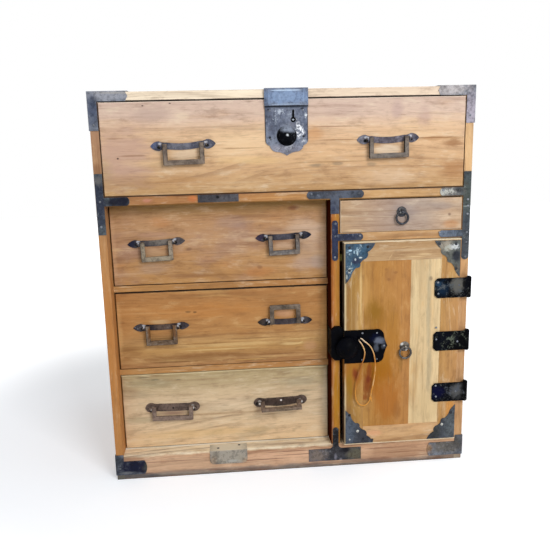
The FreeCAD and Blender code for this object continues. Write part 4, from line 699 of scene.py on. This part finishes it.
class Tree:
    """A material and short calls that add nodes to it."""

    def __init__(self, name):
        self.material = bpy.data.materials.new(name)
        self.material.use_nodes = True
        self.nodes = self.material.node_tree.nodes
        self.links = self.material.node_tree.links
        self.shader = self.nodes["Principled BSDF"]
        source = self.add("ShaderNodeTexCoord")
        self.place, self.facing = source.outputs["Object"], source.outputs["Normal"]

    def add(self, kind, inputs=None, **settings):
        """A new node, with values or other nodes' sockets for its inputs."""
        node = self.nodes.new(kind)
        for key, value in settings.items():
            setattr(node, key, value)
        for key, value in (inputs or {}).items():
            self.feed(node.inputs[key], value)
        return node

    def feed(self, socket, value):
        if isinstance(value, bpy.types.NodeSocket):
            self.links.new(value, socket)
        else:
            socket.default_value = value

    def shade(self, name, value):
        """Gives the shader an input's value."""
        self.feed(self.shader.inputs[name], value)

    def math(self, operation, *values):
        return self.add("ShaderNodeMath", dict(enumerate(values)), operation=operation).outputs[0]

    def axis(self, name):
        return self.add("ShaderNodeSeparateXYZ", {0: self.place}).outputs[name]

    def turn_on_sides(self):
        """Lets the grain of faces that look sideways run front to back."""
        part = self.add("ShaderNodeSeparateXYZ", {0: self.place}).outputs
        turned = {"X": part["Y"], "Y": part["X"], "Z": part["Z"]}
        swapped = self.add("ShaderNodeCombineXYZ", turned)
        look = self.add("ShaderNodeSeparateXYZ", {0: self.facing})
        sideways = self.math("GREATER_THAN", self.math("ABSOLUTE", look.outputs["X"]), 0.7)
        self.place = self.mix(sideways, self.place, swapped.outputs[0])

    def stretch(self, scale, offset=(0.0, 0.0, 0.0), source=None):
        inputs = {"Vector": source or self.place, "Scale": scale, "Location": offset}
        return self.add("ShaderNodeMapping", inputs).outputs[0]

    def noise(self, where, detail=2.0, roughness=0.5):
        inputs = {"Vector": where, "Scale": 1.0, "Detail": detail, "Roughness": roughness}
        return self.add("ShaderNodeTexNoise", inputs).outputs["Fac"]

    def span(self, value, low, high, to_low=0.0, to_high=1.0):
        """Smooth step from one pair of numbers to another."""
        inputs = {
            "Value": value, "From Min": low, "From Max": high, "To Min": to_low, "To Max": to_high,
        }
        return self.add("ShaderNodeMapRange", inputs, interpolation_type="SMOOTHSTEP").outputs[0]

    def mix(self, factor, first, second):
        inputs = {0: factor, 6: first, 7: second}
        return self.add("ShaderNodeMix", inputs, data_type="RGBA").outputs[2]

    def stain(self, tone, value, low, high, share, code, where=None):
        """Blends a tone in while a value goes from low to high, thinned by where."""
        cover = self.span(value, low, high, 0.0, share)
        if where is not None:
            cover = self.math("MULTIPLY", cover, where)
        return self.mix(cover, tone, colour(code))

    def ramp(self, value, stops):
        """Colour of a value in mm between stops of (mm, code)."""
        low, high = stops[0][0], stops[-1][0]
        above = self.math("SUBTRACT", value, low * MM)
        share = self.math("DIVIDE", above, (high - low) * MM)
        node = self.add("ShaderNodeValToRGB", {0: share})
        line = node.color_ramp
        line.elements[0].color = colour(stops[0][1])
        line.elements[1].color = colour(stops[-1][1])
        for place, code in stops[1:-1]:
            line.elements.new((place - low) / (high - low)).color = colour(code)
        return node.outputs[0]

    def reach(self, x, z, width, height):
        """How far a point is from the middle of an ellipse on the front: 1 on its line."""
        near = self.stretch((1 / (width * MM), 0, 1 / (height * MM)), (-x / width, 0, -z / height))
        return self.add("ShaderNodeVectorMath", {0: near}, operation="LENGTH").outputs["Value"]

    def mark(self, tone, spot, ragged):
        """Soft patch of a tone round a place on the front, its edge broken by ragged."""
        *place, code, share = spot
        edge = self.math("ADD", self.reach(*place), ragged)
        return self.mix(self.span(edge, 0.3, 1.1, share, 0.0), tone, colour(code))

    def dot(self, tone, spot):
        """Crisp patch of a tone."""
        *place, code, share = spot
        return self.mix(self.span(self.reach(*place), 0.7, 1.0, share, 0.0), tone, colour(code))

    def curl(self, tone, line, ragged):
        """Thin curved line of a tone, where the saw has cut across a swirl in the grain."""
        *place, thick, code, share = line
        edge = self.math("MULTIPLY_ADD", ragged, 0.12, self.reach(*place))
        off = self.math("ABSOLUTE", self.math("SUBTRACT", edge, 1.0))
        broken = self.span(ragged, -0.1, 0.15)
        line_share = self.math("MULTIPLY", self.span(off, thick * 0.4, thick, share, 0.0), broken)
        return self.mix(line_share, tone, colour(code))

    def rim(self, tone, node, band, ragged):
        """Tone along the named sides of a node's box, as seen from the front."""
        sides, width, code, share, *back = band
        low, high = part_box(node)
        lines = {
            "L": ("X", low.x, 1), "R": ("X", high.x, -1),
            "B": ("Z", low.z, 1), "T": ("Z", high.z, -1),
        }
        near = None
        for side in sides:
            axis, edge, sign = lines[side]
            gap = self.math("MULTIPLY_ADD", self.axis(axis), sign, -sign * edge)
            near = gap if near is None else self.math("MINIMUM", near, gap)
        near = self.math("MULTIPLY_ADD", ragged, width * MM * 0.8, near)
        cover = self.span(near, width * MM * 0.5, width * MM, share, 0.0)
        if back:
            depth = self.span(self.axis("Y"), (back[0] - 2) * MM, (back[0] + 2) * MM, 1.0, 0.0)
            cover = self.math("MULTIPLY", cover, depth)
        return self.mix(cover, tone, colour(code))

    def bump(self, height, distance):
        inputs = {"Strength": BUMP_STRENGTH, "Distance": distance, "Height": height}
        self.shade("Normal", self.add("ShaderNodeBump", inputs).outputs[0])


ALONG = {"X": (1.0, 0.0, 0.0), "Y": (0.0, 1.0, 0.0), "Z": (0.0, 0.0, 1.0)}


def grain_scale(grain, along, across):
    return tuple(along if part else across for part in ALONG[grain])


def wood(
    name, node, seed, ramp, grain="X", clouds=(), marks=(), curls=(), rims=(), figure=0.3,
    lines=15.0, dark="6d4528", pale="f3e2c4", fibre=0.4, fleck=0.3, gloss=0.25, boxed=False,
):
    """Old bare wood with growth lines, fibres, stains and worn flecks along the grain."""
    tree = Tree(name)
    if boxed:
        tree.turn_on_sides()
    shift = (seed * 1.7, seed * 2.3, seed * 3.1)

    def layer(along, across, detail=2.0, roughness=0.5, turn=0.0, source=None):
        offset = tuple(part + turn for part in shift)
        place = tree.stretch(grain_scale(grain, along, across), offset, source)
        return tree.noise(place, detail, roughness)

    wander = tree.math("SUBTRACT", layer(1.8, 5, turn=2), 0.5)
    inputs = {0: wander, 1: grain_scale(grain, 0.0, 0.05), 2: tree.place}
    bent = tree.add("ShaderNodeVectorMath", inputs, operation="MULTIPLY_ADD").outputs[0]
    ragged = tree.math("MULTIPLY", tree.math("SUBTRACT", layer(22, 60, 5, 0.7), 0.5), 1.5)

    axis, *stops = ramp
    where = tree.axis(axis)
    if axis == "Z":
        where = tree.math("MULTIPLY_ADD", ragged, 0.012, where)
    tone = tree.ramp(where, stops)
    for index, (code, share, along, across, edge, *level) in enumerate(clouds):
        cloud = layer(along, across, 4, 0.62, turn=3.0 + index, source=bent)
        cover = tree.span(cloud, edge, edge + 0.2, 0.0, share)
        if level:
            low, high = level
            above = tree.span(tree.axis("Z"), (low - 6) * MM, (low + 6) * MM)
            below = tree.span(tree.axis("Z"), (high + 6) * MM, (high - 6) * MM)
            cover = tree.math("MULTIPLY", cover, tree.math("MINIMUM", above, below))
        tone = tree.mix(cover, tone, colour(code))

    mottle = layer(26, 70, 5, 0.68, turn=17, source=bent)
    tone = tree.stain(tone, mottle, 0.5, 0.72, fibre * 0.8, dark)
    tone = tree.stain(tone, mottle, 0.48, 0.28, fibre * 0.8, pale)
    streak = layer(2.6, 110, 4, 0.62, turn=6, source=bent)
    tone = tree.stain(tone, streak, 0.5, 0.76, fibre, dark)
    tone = tree.stain(tone, streak, 0.46, 0.26, fibre * 0.55, pale)
    growth = layer(0.8, 7, 1, turn=8, source=bent)
    rings = tree.math("FRACT", tree.math("MULTIPLY", growth, lines))
    late = tree.math("MULTIPLY", tree.span(rings, 0.55, 0.93), tree.span(rings, 0.99, 0.95))
    tone = tree.stain(tone, layer(4, 14, turn=9), 0.44, 0.66, figure, dark, late)
    for spot in marks:
        tone = tree.mark(tone, spot, ragged)
    for line in curls:
        tone = tree.curl(tone, line, ragged)
    fibres = layer(20, 620, 3, 0.6, turn=11, source=bent)
    tone = tree.stain(tone, fibres, 0.52, 0.8, fibre, dark)
    worn = tree.span(layer(8, 22, 3, turn=13), 0.46, 0.62)
    tone = tree.stain(tone, layer(46, 430, turn=12), 0.56, 0.74, fleck, pale, worn)
    dull = tree.span(layer(7, 24, 3, turn=15), 0.46, 0.62)
    tone = tree.stain(tone, layer(40, 400, turn=14), 0.58, 0.74, fleck, dark, dull)
    for band in rims:
        tone = tree.rim(tone, node, band, ragged)
    tree.shade("Base Color", tone)
    tree.shade("Roughness", tree.span(streak, 0.3, 0.7, *WOOD_ROUGHNESS))
    tree.shade("Specular IOR Level", gloss)
    tree.bump(tree.math("MULTIPLY_ADD", fibres, 0.5, streak), WOOD_RELIEF)
    return tree.material


def iron(
    name, seed, base, second, specks, speck=0.3, rust=0.2, rust_tone="59402c", zones=(),
    marks=(), splashes=(), dots=(), left_shade=0.0, metal=0.15, roughness=0.52, shine=0.2,
):
    """Blackened sheet or forged iron: mottled, scuffed bare and rusted in patches, with painted
    shade on faces that look left where asked.
    """
    tree = Tree(name)
    shift = (seed * 1.3, seed * 2.9, seed * 0.7)

    def layer(scale, detail=3.0, roughness=0.6, turn=0.0):
        offset = tuple(part + turn for part in shift)
        return tree.noise(tree.stretch((scale, scale, scale), offset), detail, roughness)

    broad = layer(34, 4, 0.62)
    fine = layer(190, 4, 0.65, turn=2)
    grit = layer(620, 2, turn=4)
    ragged = tree.math("MULTIPLY", tree.math("SUBTRACT", layer(90, 5, 0.7, turn=5), 0.5), 1.4)
    tone = tree.mix(tree.span(broad, 0.4, 0.62), colour(base), colour(second))
    for spot in zones:
        tone = tree.mark(tone, spot, ragged)
    tone = tree.stain(tone, broad, 0.5, 0.3, 0.35, IRON_SHADE)
    tone = tree.stain(tone, fine, 0.52, 0.38, 0.35, IRON_SHADE)
    scuffed = tree.span(layer(24, 4, turn=9), 0.45, 0.66)
    tone = tree.stain(tone, fine, 0.55, 0.7, speck, specks, scuffed)
    tone = tree.stain(tone, grit, 0.62, 0.72, speck, specks, scuffed)
    tone = tree.stain(tone, grit, 0.4, 0.3, 0.4, IRON_PITS)
    tone = tree.stain(tone, layer(46, 6, 0.7, turn=7), 0.56, 0.7, rust, rust_tone)
    for spot in marks:
        tone = tree.mark(tone, spot, ragged)
    flakes = layer(70, 7, 0.8, turn=12)
    for *spot, cover in splashes:
        level = FLAKE_CONTRAST * (FLAKE_LEVEL - FLAKE_STEP * cover)
        broken = tree.math("MULTIPLY_ADD", flakes, -FLAKE_CONTRAST, level)
        tone = tree.mark(tone, (*spot, FLAKE_SHARE), broken)
    for spot in dots:
        tone = tree.dot(tone, spot)
    # Painted shade on faces that look left, away from the key lamp.
    if left_shade:
        side = tree.add("ShaderNodeSeparateXYZ", {0: tree.facing})
        tone = tree.stain(tone, side.outputs["X"], -0.4, -0.8, left_shade, IRON_LEFT_SHADE)
    tree.shade("Base Color", tone)
    tree.shade("Metallic", metal)
    tree.shade("Specular IOR Level", shine)
    tree.shade("Roughness", tree.span(fine, 0.3, 0.7, roughness + 0.14, roughness - 0.08))
    tree.bump(tree.math("MULTIPLY_ADD", fine, 0.35, broad), IRON_RELIEF)
    return tree.material


def string_material():
    """Twisted cotton string, pale orange."""
    tree = Tree("string_orange")
    twist = tree.noise(tree.stretch(TWIST_SCALE), 3.0)
    broad = tree.noise(tree.stretch(FADE_SCALE))
    tone = tree.ramp(tree.axis("Z"), STRING_TONES)
    tone = tree.stain(tone, twist, 0.35, 0.7, 0.6, STRING_DARK)
    tone = tree.stain(tone, broad, 0.45, 0.7, 0.4, STRING_PALE)
    tone = tree.mark(tone, STRING_STAIN, 0.0)
    tree.shade("Base Color", tone)
    tree.shade("Roughness", STRING_ROUGHNESS)
    tree.bump(twist, STRING_RELIEF)
    return tree.material


def dress_nodes():
    """Gives each CAD node its wood or iron."""
    for make, table in ((wood, WOODS), (iron, IRONS)):
        for name, facts in table.items():
            settings = dict(facts)
            names = settings.pop("on")
            if make is wood:
                settings["node"] = names[0]
            material = make(name, **settings)
            for node in names:
                mesh = nodes[node].data
                mesh.materials.clear()
                mesh.materials.append(material)


def add_object(name, data):
    """An object in the scene that shows the data."""
    piece = bpy.data.objects.new(name, data)
    bpy.context.scene.collection.objects.link(piece)
    return piece


# Nails


def nail_heads(face, radius, height, places, looks="front"):
    """Low domed heads in one mesh, standing on a plane that faces the front or up."""

    def at(x, along, rise):
        if looks == "up":
            return (x * MM, along * MM, (face + rise) * MM)
        return (x * MM, (face - rise) * MM, along * MM)

    mesh = bmesh.new()
    sides, rings = NAIL_SIDES, NAIL_RINGS
    for x, along in places:
        loops = []
        for step in range(rings):
            angle = math.pi / 2 * step / rings
            reach, rise = radius * math.cos(angle), height * math.sin(angle)
            loops.append([
                mesh.verts.new(at(
                    x + reach * math.cos(2 * math.pi * k / sides),
                    along + reach * math.sin(2 * math.pi * k / sides), rise,
                )) for k in range(sides)
            ])
        top = mesh.verts.new(at(x, along, height))
        for lower, upper in zip(loops, loops[1:]):
            for k in range(sides):
                after = (k + 1) % sides
                mesh.faces.new((lower[k], lower[after], upper[after], upper[k]))
        for k in range(sides):
            mesh.faces.new((loops[-1][k], loops[-1][(k + 1) % sides], top))
        mesh.faces.new(loops[0][::-1])
    for part in mesh.faces:
        part.smooth = True
    bmesh.ops.recalc_face_normals(mesh, faces=mesh.faces)
    return mesh


def add_nails():
    """Puts each group of heads on its body."""
    metals = {
        "iron_nails": iron("iron_nails", 15.0, "6c7078", "8c9098", "c4c8cc", speck=0.5),
        "nails_dark": iron("nails_dark", 17.0, "22242a", "3a3e46", "888888", speck=0.3),
        "nails_bright": iron("nails_bright", 16.0, "b4b4ae", "d8d8d2", "f0f0ea", rust=0.15),
    }
    for name, (body, face, metal, radius, height, places, *looks) in NAILS.items():
        shape = nail_heads(face, radius, height, places, *looks)
        mesh = bpy.data.meshes.new(name)
        shape.to_mesh(mesh)
        shape.free()
        mesh.materials.append(metals[metal])
        piece = add_object(name, mesh)
        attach(piece, body)


# String


def curve_piece(name, radius, material):
    """A round cord that takes its splines from the caller."""
    curve = bpy.data.curves.new(name, "CURVE")
    curve.dimensions = "3D"
    curve.bevel_depth = radius
    curve.bevel_resolution = 4
    curve.resolution_u = 10
    curve.use_fill_caps = True
    curve.materials.append(material)
    return add_object(name, curve)


def string_loop(material):
    """The cord, one open NURBS line through the route's points."""
    piece = curve_piece("string_loop_cord", STRING_RADIUS, material)
    spline = piece.data.splines.new("NURBS")
    spline.points.add(len(STRING_ROUTE) - 1)
    for point, place in zip(spline.points, STRING_ROUTE):
        point.co = (*(Vector(place) * MM), 1.0)
    spline.order_u = 3
    spline.use_endpoint_u = True
    return piece


def string_knot(material):
    """Overhand knot, a closed trefoil of the same cord, with a short tail."""
    centre, tail_end = Vector(KNOT_CENTRE) * MM, Vector(KNOT_TAIL) * MM
    piece = curve_piece("string_knot_piece", STRING_RADIUS * KNOT_THINNER, material)
    turns = piece.data.splines.new("NURBS")
    turns.points.add(KNOT_STEPS - 1)
    for index, point in enumerate(turns.points):
        angle = 2 * math.pi * index / KNOT_STEPS
        reach = 2 + math.cos(3 * angle)
        across, up = reach * math.cos(2 * angle), reach * math.sin(2 * angle)
        bend = Vector((across, math.sin(3 * angle), up))
        point.co = (*(centre + bend * KNOT_SIZE * MM), 1.0)
    turns.order_u = 4
    turns.use_cyclic_u = True
    tail = piece.data.splines.new("NURBS")
    tail.points.add(len(TAIL_STEPS) - 1)
    for point, share in zip(tail.points, TAIL_STEPS):
        sway = Vector((TAIL_SWAY * MM * math.sin(share * 3.0), 0, 0))
        point.co = (*(centre.lerp(tail_end, share) + sway), 1.0)
    tail.order_u = 3
    tail.use_endpoint_u = True
    return piece


def add_string():
    """The loop and its knot, in place of the CAD's string."""
    material = string_material()
    loop = string_loop(material)
    knot = string_knot(material)
    for piece, node in ((loop, "string_loop"), (knot, "string_knot")):
        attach(piece, "door")
        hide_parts(node)


# Studio


def seen_rays(tree_nodes, links):
    """1 for rays that show the background: camera, glossy and transmission rays."""
    rays = tree_nodes.new("ShaderNodeLightPath")
    total = rays.outputs["Is Camera Ray"]
    for name in ("Is Glossy Ray", "Is Transmission Ray"):
        most = tree_nodes.new("ShaderNodeMath")
        most.operation = "MAXIMUM"
        links.new(total, most.inputs[0])
        links.new(rays.outputs[name], most.inputs[1])
        total = most.outputs[0]
    return total


def add_floor():
    """White floor that keeps the shadow near the object and turns plain white far off."""
    mesh = bpy.data.meshes.new("floor")
    half = FLOOR_SIZE / 2
    corners = [(-half, -half, 0), (half, -half, 0), (half, half, 0), (-half, half, 0)]
    mesh.from_pydata(corners, [], [(0, 1, 2, 3)])
    floor = add_object("floor", mesh)
    tree = Tree("floor_white")
    tree.shade("Base Color", colour(FLOOR_TONE))
    tree.shade("Roughness", FLOOR_ROUGHNESS)
    tree.shade("Specular IOR Level", FLOOR_SHINE)
    place = tree.stretch((1, 1, 1), [-part for part in FLOOR_FADE_CENTRE])
    away = tree.add("ShaderNodeVectorMath", {0: place}, operation="LENGTH")
    glow = tree.span(away.outputs["Value"], *FLOOR_FADE, FLOOR_GLOW, 1.0)
    seen = seen_rays(tree.nodes, tree.links)
    tree.shade("Emission Color", (1, 1, 1, 1))
    tree.shade("Emission Strength", tree.math("MULTIPLY", glow, seen))
    mesh.materials.append(tree.material)


def add_world():
    """Soft white surroundings, plain white where they are seen or mirrored."""
    world = bpy.data.worlds.new("studio")
    bpy.context.scene.world = world
    world.use_nodes = True
    tree = world.node_tree
    tree.nodes.clear()
    out = tree.nodes.new("ShaderNodeOutputWorld")
    mix = tree.nodes.new("ShaderNodeMixShader")
    tree.links.new(seen_rays(tree.nodes, tree.links), mix.inputs[0])
    for slot, strength in ((1, WORLD_FILL), (2, 1.0)):
        light = tree.nodes.new("ShaderNodeBackground")
        light.inputs["Color"].default_value = (1, 1, 1, 1)
        light.inputs["Strength"].default_value = strength
        tree.links.new(light.outputs[0], mix.inputs[slot])
    tree.links.new(mix.outputs[0], out.inputs["Surface"])


def add_lamps():
    for name, (place, aim, size, power) in LAMPS.items():
        lamp = bpy.data.lights.new(name, "AREA")
        lamp.shape = "RECTANGLE"
        lamp.size, lamp.size_y = size
        lamp.energy = power
        piece = add_object(name, lamp)
        piece.location = place
        direction = Vector(aim) - Vector(place)
        piece.rotation_euler = direction.to_track_quat("-Z", "Y").to_euler()


def add_camera():
    turn, dip = CAMERA_YAW, CAMERA_PITCH
    flat = math.cos(dip)
    ahead = Vector((math.sin(turn) * flat, math.cos(turn) * flat, -math.sin(dip)))
    level = Vector((math.cos(turn), -math.sin(turn), 0))
    upward = level.cross(ahead)
    right = level * math.cos(CAMERA_ROLL) + upward * math.sin(CAMERA_ROLL)
    up = upward * math.cos(CAMERA_ROLL) - level * math.sin(CAMERA_ROLL)
    lens = bpy.data.cameras.new("camera")
    lens.sensor_width = SENSOR_MM
    lens.lens = FOCAL_PX * SENSOR_MM / FRAME_PX
    camera = add_object("camera", lens)
    rotation = Matrix((right, up, -ahead)).transposed()
    camera.matrix_world = Matrix.Translation(CAMERA_PLACE) @ rotation.to_4x4()
    bpy.context.scene.camera = camera


add_camera()
add_string()
dress_nodes()
add_nails()
add_floor()
add_world()
add_lamps()
bpy.context.scene.view_settings.view_transform = "Standard"
